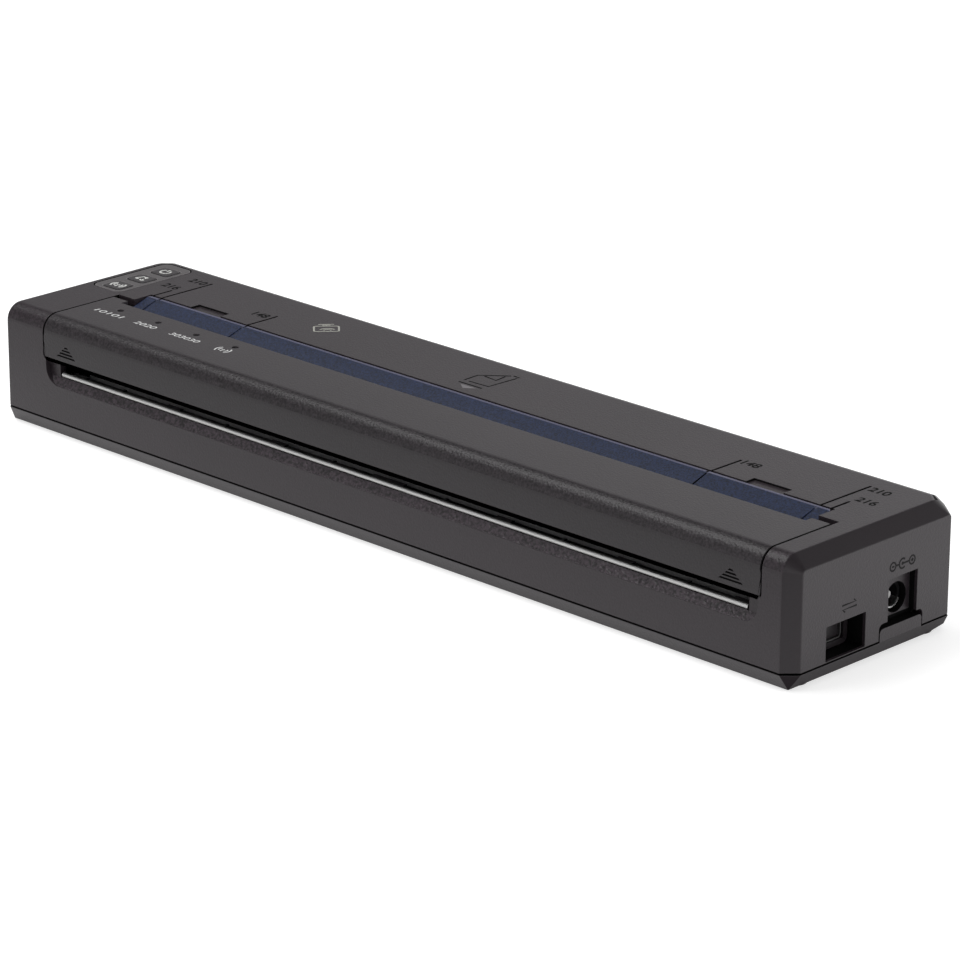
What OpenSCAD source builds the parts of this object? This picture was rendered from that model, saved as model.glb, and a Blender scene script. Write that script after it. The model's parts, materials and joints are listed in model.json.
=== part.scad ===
// Portable thermal printer for full-page paper: a long flat case with a release cover
// along its front, a paper slot on top and a tear bar in the exit slot at the front.
// X runs along the platen, the front faces -Y, Z is up from the table.

/* [Body] */
// Overall length of the case
body_w = 255; // [250:1:300]
// Overall depth of the case
body_d = 55; // [55:0.5:65]
// Overall height above the table
body_h = 30; // [30:0.5:36]
// Thickness of the case walls
wall = 1.8; // [1.5:0.1:2]
// Width of the bevel round each end face
end_bevel = 3.1; // [2:0.1:3.3]
// Radius of the top front edge
front_round = 4.2; // [3.6:0.1:5]
// Radius of the top rear edge
rear_round = 3.8; // [3.6:0.1:5]
// Height of the line where the two case halves meet
split_z = 3.7; // [3.5:0.1:4]
// Height of the groove along that line
split_groove = 0.4; // [0.2:0.05:0.5]
// Depth of the groove along that line
split_groove_deep = 0.6; // [0.4:0.1:0.9]
// How far the underside is drawn in at the two ends
base_inset = 2.3; // [1.5:0.1:3]
// How far it is drawn in along the front and rear
base_inset_front = 2; // [1.5:0.1:2.5]
// Thickness of the lower case's floor
floor_t = 2.1; // [1.7:0.1:2.3]

/* [Release cover] */
// Length of the case beyond the cover at each end
cover_side = 12.8; // [12.6:0.1:13.4]
// Thickness of its walls
cover_wall = 1.6; // [1.2:0.1:1.8]
// Depth of its top from the front face
cover_deep = 20.4; // [20:0.1:20.6]
// How much further its two rear corners reach back
ear_reach = 2.1; // [1.6:0.1:2.2]
// Drop of its lower front edge below the top
cover_drop = 10.7; // [10.5:0.1:11]
// Gap between the cover and the case
seam = 0.3; // [0.2:0.05:0.4]
// Distance of its hinge axis behind the front face
hinge_back = 20.9; // [20.8:0.1:21.1]
// Distance of its hinge axis below the top
hinge_down = 2.8; // [2.7:0.1:3]
// Radius of the hinge pins
hinge_pin_r = 0.8; // [0.6:0.05:0.9]
// Radius of the indicator windows
window_r = 0.85; // [0.6:0.05:1]
// Distance between the indicator windows
window_pitch = 13.7; // [12:0.1:14]

/* [Paper path] */
// Offset of the paper's centre line from the case's centre
path_x = 3.9; // [3:0.1:4.5]
// Width of the zone beside each end of the paper ramp
zone_w = 5.7; // [5.7:0.1:6]
// Distance of the deck's front edge behind the front face
deck_edge = 30.1; // [29.8:0.1:30.4]
// Thickness of the paper ramp
ramp_t = 1.3; // [1:0.1:1.5]
// Radius of the platen roller
platen_r = 5; // [4.6:0.05:5]
// Radius of the platen shaft
shaft_r = 2; // [1.5:0.05:2.1]
// Distance of the platen axis behind the front face
platen_back = 12; // [11.8:0.1:12.1]
// Distance of the platen axis below the top
platen_down = 9.5; // [9.3:0.1:9.6]
// Distance of the print head's ends from the ramp's ends
head_margin = 2.5; // [2:0.1:6]
// Radius of the tear bar's bright edge
bar_r = 0.6; // [0.4:0.05:0.7]

/* [Drive] */
// Tooth size of the gears: pitch diameter over number of teeth
gear_module = 0.6; // [0.58:0.01:0.6]
// Width of the gears
gear_w = 2.3; // [1.6:0.1:2.3]
// Teeth of the platen gear
platen_teeth = 18; // [18:1:18]
// Teeth of the idler gear
idler_teeth = 16; // [16:1:16]
// Teeth of the motor pinion
pinion_teeth = 12; // [12:1:12]
// Clearance of the motor's can above the floor
motor_clear = 0.57; // [0.3:0.05:1.5]
// Length of the motor's can
motor_len = 18; // [14:0.5:24]

/* [Buttons] */
// Size of a button along the case
button_x = 5.9; // [5:0.1:6.2]
// Distance between neighbouring buttons' edges
button_apart = 2.7; // [2.2:0.1:3.4]
// Travel of a button
button_travel = 0.5; // [0.3:0.05:0.5]

/* [Ports] */
// Width of the data port's pocket
port_w = 12.8; // [11:0.1:13]
// Height of the data port's pocket
port_h = 7.8; // [7:0.1:8]
// Radius of the power jack's hole in the case
jack_hole_r = 3.45; // [3:0.05:3.6]
// Radius of the power jack's bore
jack_bore_r = 2.8; // [2.5:0.05:2.9]
// Radius of the power jack's pin
jack_pin_r = 0.85; // [0.6:0.05:1]

/* [Battery] */
// Distance of the battery pack's inner end from the right end of the case
bay_rest = 77.5; // [74:0.5:90]
// Distance of the battery pack's front behind the front face
pack_front = 34; // [33.8:0.1:36]
// Clearance of the battery pack under the button board
pack_clear = 0.6; // [0.3:0.05:1.5]

/* [Hidden] */
$fn = 48;

// One overrun serves all cuts, and these clearances serve all pieces
cut = 1;
close_gap = 0.05;
part_gap = 0.2;
wide_gap = 0.3;
hull_fn = 32;

// Main planes of the case
front_y = -body_d / 2;
rear_y = body_d / 2;
right_x = body_w / 2;
case_bottom = 0.1;
floor_top = case_bottom + floor_t;
deck_under = body_h - wall;
min_round = 0.4;
// The top rear corners are rounded more than the edge between them
corner_round = 6.4;
corner_run = 2.5;
// The underside rises towards the rear edge
rear_rise = 1.7;
rear_rise_run = 6.6;
rim_t = 1.2;
rim_h = 1.5;
rim_end = 12;

// Cover and the two end zones beside the paper ramp
cover_w = body_w - 2 * cover_side;
ramp_w = cover_w - 2 * zone_w;
head_w = ramp_w - 2 * head_margin;
cover_l = path_x - cover_w / 2;
cover_r = path_x + cover_w / 2;
ramp_l = path_x - ramp_w / 2;
ramp_r = path_x + ramp_w / 2;
cover_rear_y = front_y + cover_deep;
ear_rear_y = cover_rear_y + ear_reach;
lip_z = body_h - cover_drop;
deck_y = front_y + deck_edge;
hinge_y = front_y + hinge_back;
hinge_z = body_h - hinge_down;
ear_r = 1.9;
end_wall_t = 1.4;
swing_gap = 0.5;
pocket_rear_y = hinge_y + norm([ear_rear_y - hinge_y, body_h - hinge_z]) + swing_gap;
cheek_t = 1.5;
cheek_down = 14;
cheek_low_z = body_h - cheek_down;
lip_round = 1.2;

// Exit recess and slot in the front wall
recess_margin = 0.6;
recess_down = 16.8;
recess_low_z = body_h - recess_down;
recess_round = 4.2;
recess_deep = 1.5;
shelf_down = 14.9;
shelf_z = body_h - shelf_down;
shelf_t = 1.8;
shelf_h = 3.1;
recess_floor_y = front_y + recess_deep;
shelf_rear_y = recess_floor_y + shelf_t;
slope_start = 0.25;
bar_base_h = 0.4;
end_post_top = lip_z - wide_gap;
slot_side = 1.5;
bar_side = 1;

// Marks and shallow features on the deck
groove_w = 0.4;
width_mark_w = 0.6;
groove_deep = 0.3;
full_in = 3.6;
letter_in = 0.6;
small_in = 34.6;
full_half = ramp_w / 2 - full_in;
letter_half = ramp_w / 2 - letter_in;
small_half = ramp_w / 2 - small_in;
full_mark = 16.7;
letter_mark = 6;
small_mark = 9.8;
notch_in = 19.5;
notch_x = ramp_w / 2 - notch_in;
notch_w = 10.7;
notch_d = 2.9;
notch_deep = 0.5;
arrow_in = 2.5;
arrow_x = ramp_w / 2 - arrow_in;
arrow_half = 3.4;
arrow_down = 5.9;
arrow_bars = 4;
arrow_h = 3.1;
arrow_bar_h = 0.42;

// Platen
platen_y = front_y + platen_back;
platen_z = body_h - platen_down;
bush_r = 3;
bush_gap = 0.03;
bush_flange_r = 3.7;
bush_flange_t = 0.4;
boss_r = 4.6;
shaft_stub = 0.4;

// Chassis plates stand just outside the ramp's ends
plate_t = 0.8;
chassis_l = ramp_l - part_gap - plate_t;
chassis_r = ramp_r + part_gap + plate_t;

// Gears and their places
gear_off = 0.4;
gear_x = chassis_l - gear_off - gear_w;
platen_gear_r = gear_module * platen_teeth / 2;
idler_gear_r = gear_module * idler_teeth / 2;
pinion_gear_r = gear_module * pinion_teeth / 2;
hinge_to_platen = [platen_y - hinge_y, platen_z - hinge_z];
// The idler stands where the opening cover lifts the platen gear straight out of mesh
mesh_angle = atan2(hinge_to_platen[1], hinge_to_platen[0]) + 360
    + acos(-platen_gear_r / norm(hinge_to_platen));
idler_y = platen_y + (platen_gear_r + idler_gear_r) * cos(mesh_angle);
idler_z = platen_z + (platen_gear_r + idler_gear_r) * sin(mesh_angle);
motor_angle = -60;
motor_y = idler_y + (idler_gear_r + pinion_gear_r) * cos(motor_angle);
motor_z = idler_z + (idler_gear_r + pinion_gear_r) * sin(motor_angle);
pressure_angle = 20;
tip_share = 0.9;
root_share = 1.2;
backlash = 0.09;
axle_r = 1;
axle_cap_t = 0.3;
axle_cap_r = 1.6;
motor_shaft_r = 0.75;
motor_pilot_r = 2;
motor_r = motor_z - floor_top - motor_clear;

// Chassis
head_top = platen_z - platen_r - wide_gap;
stack_h = head_top - floor_top;
board_z_share = 0.17;
chassis_z_share = 0.477;
sink_low_share = 0.738;
chassis_z = floor_top + stack_h * chassis_z_share;
chassis_top = chassis_z + plate_t;
chassis_front = 4.5;
chassis_rear = 18.5;
chassis_front_y = front_y + chassis_front;
chassis_rear_y = front_y + chassis_rear;
cheek_up = 3.6;
cheek_low = chassis_z + cheek_up;
cheek_under = 6;
cheek_mid = platen_z - cheek_under;
boss_in = 13;
boss_x = ramp_w / 2 - boss_in;
boss_front = 7;
boss_rear = 16;
boss_front_y = front_y + boss_front;
boss_rear_y = front_y + boss_rear;
chassis_boss_r = 2.4;
pilot_r = 1;
screw_head_r = 1.9;
screw_head_h = 0.9;
screw_len = 4;

// Print head
head_t = 1;
head_front = 7.5;
head_rear = 16.6;
head_front_y = front_y + head_front;
head_rear_y = front_y + head_rear;
glaze_w = 1.2;
glaze_h = 0.1;
sink_front = 5.6;
sink_rear = 17.8;
sink_front_y = front_y + sink_front;
sink_rear_y = front_y + sink_rear;
sink_low = floor_top + stack_h * sink_low_share;
sink_t = head_top - head_t - sink_low;
spring_count = 6;
spring_pitch = head_w / spring_count;
spring_r = 2;
spring_wire = 0.7;
cable_w = 24;
cable_t = 0.3;
cable_x = 40;

// Exit guide
guide_front_y = shelf_rear_y + close_gap;
guide_rear_y = sink_front_y - wide_gap;
guide_top = shelf_z + bar_base_h / 4;
guide_t = 1.2;
pad_w = 5;
pad_mid_w = 10.3;
pad_h = 0.4;
pads_each_side = 3;
pad_pitch = ramp_w / (2 * pads_each_side);

// Screws that join the case halves
case_boss_r = 2.9;
case_post_r = 2.2;
case_boss_top = 6;
case_head_r = 2.2;
case_head_h = 1.4;
case_shank_r = 1.15;
case_shank_len = 9;
case_seat_t = 1.4;
edge_x = 4.9;
edge_y = 6.8;
side_back = 19.5;
side_y = front_y + side_back;
deck_post_y = deck_y - case_post_r / 2;
deck_post_l_share = -0.157;
deck_post_r_share = 0.078;
deck_post_l = body_w * deck_post_l_share;
deck_post_r = body_w * deck_post_r_share;
rear_post_in = 67.5;
rear_post_x = right_x - rear_post_in;
end_screws = [[-right_x + edge_x, front_y + edge_y], [-right_x + edge_x, side_y],
    [right_x - edge_x, front_y + edge_y], [right_x - edge_x, rear_y - edge_y],
    [rear_post_x, rear_y - edge_y]];
deck_screws = [[deck_post_l, deck_post_y], [deck_post_r, deck_post_y]];
screw_places = concat(end_screws, deck_screws);

// Ports on the right end face
port_back = 17.6;
port_y = front_y + port_back;
port_z = 8.3;
port_wall = 1.1;
port_deep = 6.2;
socket_w = 7.7;
socket_h = 3.9;
socket_len = 8.7;
socket_wall = 0.35;
socket_deep = 4.6;
socket_face_x = right_x - socket_deep;
socket_tongue_t = 1.4;
jack_y_share = 0.6636;
jack_y = front_y + body_d * jack_y_share;
jack_z = 11.6;
jack_floor_deep = 2.2;
jack_floor_x = right_x - jack_floor_deep;
jack_recess_ahead = 5.1;
jack_recess_behind = 4.5;
jack_recess_y0 = jack_y - jack_recess_ahead;
jack_recess_y1 = jack_y + jack_recess_behind;
jack_recess_low = 7.6;
jack_recess_top = 17.4;
jack_body_w = 9.6;
jack_body_len = 12;
jack_bore_deep = 9.5;
jack_pin_len = 9.3;
jack_face_x = jack_floor_x - wall - close_gap;
filler_ahead = 7.6;
filler_behind = 6.4;
filler_y0 = jack_y - filler_ahead;
filler_y1 = jack_y + filler_behind;
filler_round = 1;
filler_gap = 0.25;
filler_slot = 0.9;
filler_slot_deep = 0.8;

// Boards
board_z = floor_top + stack_h * board_z_share;
board_t = 1.6;
board_top = board_z + board_t;
board_in = 49.5;
board_l = -right_x + board_in;
board_r = right_x - port_deep - wide_gap;
board_front = 4.5;
board_mid = 25.5;
board_front_y = front_y + board_front;
board_mid_y = front_y + board_mid;
wing_in = 51.5;
board_wing_l = right_x - wing_in;
wing_edge = 5;
board_wing_y = rear_y - wing_edge;
standoff_r = 2;
board_hole_gap = 0.4;
hole_in = 5;
wing_hole_in = 6;
far_hole_in = 36;
board_screw_places = [[board_l + hole_in, board_front_y + hole_in],
    [board_l + hole_in, board_mid_y - hole_in],
    [board_wing_l + wing_hole_in, board_wing_y - hole_in],
    [board_wing_l + far_hole_in, board_front_y + hole_in]];
// Chips along the board: place as a share of its length, then width, depth and height
chip_w = 9;
chip_d = 8;
chip_h_share = 0.6;
chip_h = (chassis_z - board_top) * chip_h_share;
chip_place_shares = [0.18, 0.3, 0.45, 0.56, 0.68];
chip_size_shares = [0.9, 1.4, 0.9, 1.3, 0.8];
cap_count = 3;
cap_in = 12;
cap_pitch = 9;
cap_r = 3.6;
cap_h = 10;
cap_edge = 5.1;
coil_w = 10;
coil_d_share = 0.4;
coil_d = (board_wing_y - board_mid_y) * coil_d_share;
coil_h = 5;
module_w = 13;
module_d = 9;
module_h_share = 0.8;
module_h = (chassis_z - board_top) * module_h_share;
module_in = 9;

// Button panel and buttons
panel_in = 4.8;
panel_w = 10.2;
panel_back = 25.5;
panel_rear = 4.3;
panel_d = body_d - panel_back - panel_rear;
panel_l = -right_x + panel_in;
panel_r = panel_l + panel_w;
panel_y0 = front_y + panel_back;
panel_y1 = panel_y0 + panel_d;
panel_t = 1;
panel_round = 2.4;
panel_gap = 0.1;
panel_proud = 0.05;
button_in = 10.5;
button_front = 0.1;
button_rear = 1.7;
button_pitch = (panel_d - button_front - button_rear) / 3;
button_y = button_pitch - button_apart;
button_cx = -right_x + button_in;
button_first_y = panel_y0 + button_front + button_pitch / 2;
button_gap = 0.2;
button_round = 0.9;
button_proud = 0.2;
button_skirt = 0.6;
button_skirt_t = 0.6;
button_foot_r = 1.3;
button_foot_h = 1.4;
button_foot_low = deck_under - button_foot_h;
switch_gap = button_travel + panel_gap;
switch_h = 1.4;
switch_in = 0.5;
switch_w = button_y - switch_in;
switch_cap_h = 0.5;
switch_cap_r = 1.2;
button_board_t = 0.9;
button_board_top = button_foot_low - switch_gap - switch_cap_h - switch_h;
button_board_end = 1.8;
panel_post_r = 1.3;
panel_pin_r = 0.7;
post_ys = [panel_y0 - panel_post_r / 2, panel_y1 - panel_post_r / 2];

// Battery bay, with the door in the left end face
pack_rise = 0.6;
pack_low = split_z + pack_rise;
pack_edge = 4.2;
pack_d = body_d - pack_front - pack_edge;
pack_y = rear_y - pack_edge - pack_d / 2;
pack_round = 2;
pack_in = 6.5;
pack_l = -right_x + pack_in;
pack_r = right_x - bay_rest;
pack_len = pack_r - pack_l;
pack_h = button_board_top - button_board_t - pack_clear - pack_low;
door_margin = 1.1;
door_low = split_z + split_groove;
door_top = pack_low + pack_h + door_margin;
door_y0 = pack_y - pack_d / 2 - door_margin;
door_y1 = pack_y + pack_d / 2 + door_margin;
door_gap = 0.25;
door_round = 1.2;
door_lug_t = 1.2;
door_grip_w = 9;
door_grip_h = 1;
rail_t = 1.2;
rail_gap = 0.25;
contact_w = 5;
contact_t = 0.4;

// Indicators under the cover's top
window_in = 4.3;
window_x = window_in - ramp_w / 2;
window_back = 16.1;
window_y = front_y + window_back;
pipe_under = 1.1;
pipe_low = body_h - cover_wall - pipe_under;
pipe_flange_r = 1.3;
pipe_flange_t = 0.6;
indicator_t = 0.8;
indicator_top = pipe_low - wide_gap;
indicator_front = 14;
indicator_d = 4;
indicator_y0 = front_y + indicator_front;
indicator_side = 4;

// Curl flap
flap_t = 0.8;
flap_in = 1.1;
flap_down = 3.9;
flap_y = front_y + cover_wall + flap_in;
flap_z = body_h - flap_down;
flap_barrel_r = 0.9;
flap_pin_r = 0.55;
flap_low = lip_z + wide_gap;
flap_side = 1.4;
flap_ear_t = 1.1;

// Ribs under the cover's rear edge
rib_apart = 20;
rib_count = round(ramp_w / rib_apart);
rib_t = 1;
rib_pitch = (ramp_w + 2 * rib_t) / rib_count;
rib_h = 4.2;
rib_d = 5.3;

// Paper ramp
land_gap = 0.3;
land_d = 1.1;
land_y = deck_y - land_gap;
slope_y = land_y - land_d;
ramp_set = 0.1;
ramp_edge = 0.25;
tab_w = 14;
tab_d = 4;
tab_count = 7;
tab_pitch = (deck_post_r - deck_post_l) / 2;
tab_x = deck_post_r - floor(tab_count / 2 + 1) * tab_pitch + case_post_r + rib_t;

// Paper sensor
lever_back = 22.6;
lever_down = 8.4;
lever_y = front_y + lever_back;
lever_z = body_h - lever_down;
lever_t = 1.4;
lever_pin_r = 0.55;
lever_arm_r = 1.15;
lever_reach = 2.5;
lever_rise = 2;
sensor_slot = 2.6;
sensor_ear_t = 1;
sensor_ear_gap = 0.35;
sensor_d = 3;
sensor_h = 4;

// Feet
foot_r = 4;
foot_t = 1;
foot_in_x = 17.5;
foot_in_y = 10.5;
foot_x = right_x - foot_in_x;
foot_y = rear_y - foot_in_y;
foot_gap = 0.1;

// Latch
latch_back = 10.8;
latch_y = front_y + latch_back;
latch_w = 1.6;
latch_under = 8.1;
latch_low = platen_z - latch_under;
clip_t = 0.4;
clip_under = 6.3;
clip_h = 4.6;
clip_top = platen_z - clip_under;
clip_low = clip_top - clip_h;

case_grey = [0.2, 0.19, 0.2];
front_grey = [0.22, 0.22, 0.24];
panel_grey = [0.32, 0.32, 0.33];
ramp_blue = [0.2, 0.25, 0.4];
steel = [0.7, 0.71, 0.73];
black_plastic = [0.08, 0.08, 0.09];
board_green = [0.1, 0.32, 0.18];

// Basic shapes
module block(lo, hi) {
    translate(lo) cube(hi - lo);
}

module along_x(x0, x1) {
    translate([x0, 0, 0]) rotate([90, 0, 90]) linear_extrude(x1 - x0) children();
}

module rod(x0, x1, y, z, r) {
    translate([x0, y, z]) rotate([0, 90, 0]) cylinder(r = r, h = x1 - x0);
}

module tube(x0, x1, y, z, r, bore) {
    difference() {
        rod(x0, x1, y, z, r);
        rod(x0 - cut, x1 + cut, y, z, bore);
    }
}

module post(p, z0, z1, r) {
    translate([p[0], p[1], z0]) cylinder(r = r, h = z1 - z0);
}

module rounded_rect(size, r) {
    square([size[0], size[1] - 2 * r], center = true);
    square([size[0] - 2 * r, size[1]], center = true);
    for (sx = [-1, 1], sy = [-1, 1])
        translate([sx * (size[0] / 2 - r), sy * (size[1] / 2 - r)]) circle(r);
}

// Outline of the case seen from its end, drawn in by inset
module end_outline(inset, rear = rear_round) {
    rf = max(front_round - inset, min_round);
    rr = max(rear - inset, min_round);
    yf = front_y + inset;
    yr = rear_y - inset;
    zt = body_h - inset;
    translate([yf + rf, zt - rf]) circle(rf, $fn = hull_fn);
    translate([yr - rr, zt - rr]) circle(rr, $fn = hull_fn);
    translate([yf, 0]) square([(yr - yf) / 2, zt - rf]);
    translate([0, 0]) square([yr, zt - rr]);
    translate([yf + rf, 0]) square([yr - rr - yf - rf, zt]);
}

// The whole case above the table, with its bevelled ends, drawn in by inset
module case_shape(inset) {
    x = right_x - end_bevel - inset / 2;
    hull() {
        along_x(-x + corner_run, x - corner_run) end_outline(inset);
        along_x(-x, x) end_outline(inset, corner_round);
        along_x(-right_x + inset, right_x - inset) end_outline(end_bevel + inset / 2);
    }
}

// Plan of the case, drawn in by inset, with its bevelled corners
module plan(inset) {
    b = end_bevel;
    x = right_x - inset;
    y = rear_y - inset;
    polygon([[-x + b, -y], [x - b, -y], [x, -y + b], [x, y - b], [x - b, y],
        [-x + b, y], [-x, y - b], [-x, -y + b]]);
}

// The lower case's outer form: its bevelled corners run out to points at the table
module tray_shape() {
    thin = split_z / 100;
    difference() {
        hull() {
            translate([0, 0, split_z - thin]) linear_extrude(thin) plan(0);
            translate([0, 0, case_bottom]) linear_extrude(thin)
                square([body_w - 2 * base_inset, body_d - 2 * base_inset_front], center = true);
        }
        translate([0, rear_y - rear_rise_run, case_bottom])
            rotate([atan2(rear_rise, rear_rise_run), 0, 0])
            translate([-body_w, 0, -body_h]) cube([2 * body_w, body_d, body_h]);
    }
}

// Involute gear outline with a tooth at angle zero
function inv(a) = tan(a) * 180 / PI - a;
function flank(teeth, rho) =
    let (r = gear_module * teeth / 2, rb = r * cos(pressure_angle))
    90 / teeth - backlash / r * 90 / PI + inv(pressure_angle)
        - (rho > rb ? inv(acos(rb / rho)) : 0);
function tooth_radii(teeth) =
    let (r = gear_module * teeth / 2, rb = r * cos(pressure_angle),
        root = r - root_share * gear_module, tip = r + tip_share * gear_module,
        low = max(root, rb) + gear_module / 100)
    [root, low, (low + r) / 2, r, (r + tip) / 2, tip];
function gear_points(teeth) = [
    for (i = [0:teeth - 1])
        for (side = [-1, 1])
            let (radii = tooth_radii(teeth))
            for (k = [0:len(radii) - 1])
                let (rho = side < 0 ? radii[k] : radii[len(radii) - 1 - k],
                    a = i * 360 / teeth + side * flank(teeth, rho))
                [rho * cos(a), rho * sin(a)]
];

module gear(y, z, teeth, turn, bore) {
    difference() {
        translate([gear_x, y, z]) rotate([90, 0, 90]) rotate([0, 0, turn])
            linear_extrude(gear_w) polygon(gear_points(teeth));
        rod(gear_x - cut, gear_x + gear_w + cut, y, z, bore);
    }
}

// Case
module exit_recess() {
    w = cover_w - 2 * recess_margin;
    difference() {
        translate([path_x, recess_floor_y, recess_low_z + body_h / 2]) rotate([90, 0, 0])
            linear_extrude(recess_deep + cut) rounded_rect([w, body_h], recess_round);
        // The band below the slot slopes in
        along_x(-right_x, right_x) polygon([[front_y + slope_start, recess_low_z - cut],
            [front_y + slope_start, recess_low_z], [recess_floor_y, shelf_z],
            [recess_floor_y + cut, shelf_z], [recess_floor_y + cut, recess_low_z - cut]]);
    }
    // The slot itself
    block([ramp_l - slot_side, front_y, shelf_z], [ramp_r + slot_side, shelf_rear_y + cut, lip_z]);
}

// Front view of the cover, grown by a gap, from its lower edge upwards
module cover_face(grow, y0, y1) {
    translate([path_x, y1, lip_z + body_h]) rotate([90, 0, 0]) linear_extrude(y1 - y0)
        rounded_rect([cover_w + 2 * grow, 2 * (body_h + grow)], lip_round + grow);
}

module cover_opening() {
    // In front, then over the end zones, and over the paper ramp as far back as the deck
    cover_face(seam, front_y - cut, front_y + 2 * wall);
    y0 = front_y + wall;
    z0 = lip_z - wide_gap;
    block([cover_l - seam, y0, z0], [cover_r + seam, pocket_rear_y, body_h + cut]);
    block([ramp_l - wide_gap, y0, z0], [ramp_r + wide_gap, deck_y, body_h + cut]);
}

module deck_groove(x, w, len, deep) {
    translate([x - w / 2, deck_y - cut, body_h - deep]) cube([w, len + cut, deep + cut]);
}

module deck_marks() {
    for (s = [-1, 1]) {
        deck_groove(path_x + s * full_half, width_mark_w, full_mark, groove_deep);
        deck_groove(path_x + s * letter_half, width_mark_w, letter_mark, groove_deep);
        deck_groove(path_x + s * small_half, width_mark_w, small_mark, groove_deep);
        deck_groove(path_x + s * notch_x, notch_w, notch_d, notch_deep);
    }
}

module button_hole(i, z0, z1) {
    translate([button_cx, button_first_y + i * button_pitch, z0]) linear_extrude(z1 - z0)
        rounded_rect([button_x + 2 * button_gap, button_y + 2 * button_gap], button_round + button_gap);
}

module panel_outline(grow) {
    translate([panel_l + panel_w / 2, panel_y0 + panel_d / 2])
        rounded_rect([panel_w + 2 * grow, panel_d + 2 * grow], panel_round + grow);
}

module door_outline(grow) {
    translate([(door_y0 + door_y1) / 2, (door_low + door_top) / 2])
        rounded_rect([door_y1 - door_y0 + 2 * grow, door_top - door_low + 2 * grow], door_round + grow);
}

module filler_outline(grow, drop = 0) {
    h = 2 * (jack_recess_low - drop - split_z);
    translate([(filler_y0 + filler_y1) / 2, split_z])
        rounded_rect([filler_y1 - filler_y0 + 2 * grow, h + 2 * grow], filler_round + grow);
}

module port_pocket(grow, x0, x1) {
    along_x(x0, x1) translate([port_y, port_z])
        square([port_w + 2 * grow, port_h + 2 * grow], center = true);
}

// What stays solid inside the upper case
module case_inside() {
    // Cheeks beside the cover
    for (x = [cover_l - seam - cheek_t, cover_r + seam])
        block([x, front_y, cheek_low_z], [x + cheek_t, pocket_rear_y, body_h]);
    // Shelf behind the exit recess, and its two end posts
    block([cover_l, front_y, shelf_z - shelf_h], [cover_r, shelf_rear_y, shelf_z]);
    for (x = [[cover_l, ramp_l - slot_side], [ramp_r + slot_side, cover_r]])
        block([x[0], front_y, shelf_z - shelf_h], [x[1], shelf_rear_y, end_post_top]);
    // Posts for the screws from below; the two under the ramp hang on webs from the deck
    for (p = screw_places) post(p, case_boss_top, body_h, case_post_r);
    for (p = deck_screws)
        block([p[0] - case_post_r, deck_y, case_boss_top],
            [p[0] + case_post_r, deck_y + case_post_r, body_h]);
    // Surround and back of the data port, floor of the jack's recess
    port_pocket(port_wall, right_x - port_deep, right_x);
    block([jack_floor_x - wall, jack_recess_y0 - wall, jack_recess_low - wall],
        [right_x, jack_recess_y1 + wall, jack_recess_top + wall]);
    // Posts that carry the button board
    for (y = post_ys) {
        post([button_cx, y], button_board_top, body_h, panel_post_r);
        post([button_cx, y], button_board_top - button_board_t, body_h, panel_pin_r);
    }
}

module upper_case() {
    color(case_grey) difference() {
        case_shape(0);
        difference() {
            case_shape(wall);
            case_inside();
        }
        // Open below the split, with the groove along it
        block([-body_w, -body_d, -cut], [body_w, body_d, split_z]);
        difference() {
            block([-body_w, -body_d, split_z - cut], [body_w, body_d, split_z + split_groove]);
            linear_extrude(body_h) plan(split_groove_deep);
        }
        cover_opening();
        exit_recess();
        deck_marks();
        translate([0, 0, body_h - panel_t]) linear_extrude(panel_t + cut) panel_outline(panel_gap);
        for (i = [0:2]) button_hole(i, deck_under - cut, body_h + cut);
        port_pocket(0, right_x - port_deep + port_wall, right_x + cut);
        block([right_x - port_deep - cut, port_y - socket_w / 2 - button_gap, board_top - button_gap],
            [right_x, port_y + socket_w / 2 + button_gap, board_top + socket_h + button_gap]);
        // Recess, hole and notch of the power jack
        block([jack_floor_x, jack_recess_y0, jack_recess_low],
            [right_x + cut, jack_recess_y1, jack_recess_top]);
        rod(jack_floor_x - 2 * wall, right_x, jack_y, jack_z, jack_hole_r);
        along_x(jack_floor_x, right_x + cut) filler_outline(filler_gap);
        block([jack_floor_x - filler_slot_deep, filler_y0 + filler_round, jack_recess_low - filler_slot],
            [right_x, filler_y1 - filler_round, jack_recess_low + filler_gap]);
        // Opening for the battery pack
        along_x(-right_x - cut, -right_x + wall + cut) door_outline(door_gap);
        // Pilot bores and hinge bores
        for (p = screw_places) post(p, 0, split_z + case_shank_len, case_shank_r + close_gap);
        rod(cover_l - seam - cheek_t - cut, cover_r + seam + cheek_t + cut,
            hinge_y, hinge_z, hinge_pin_r);
    }
}

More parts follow.
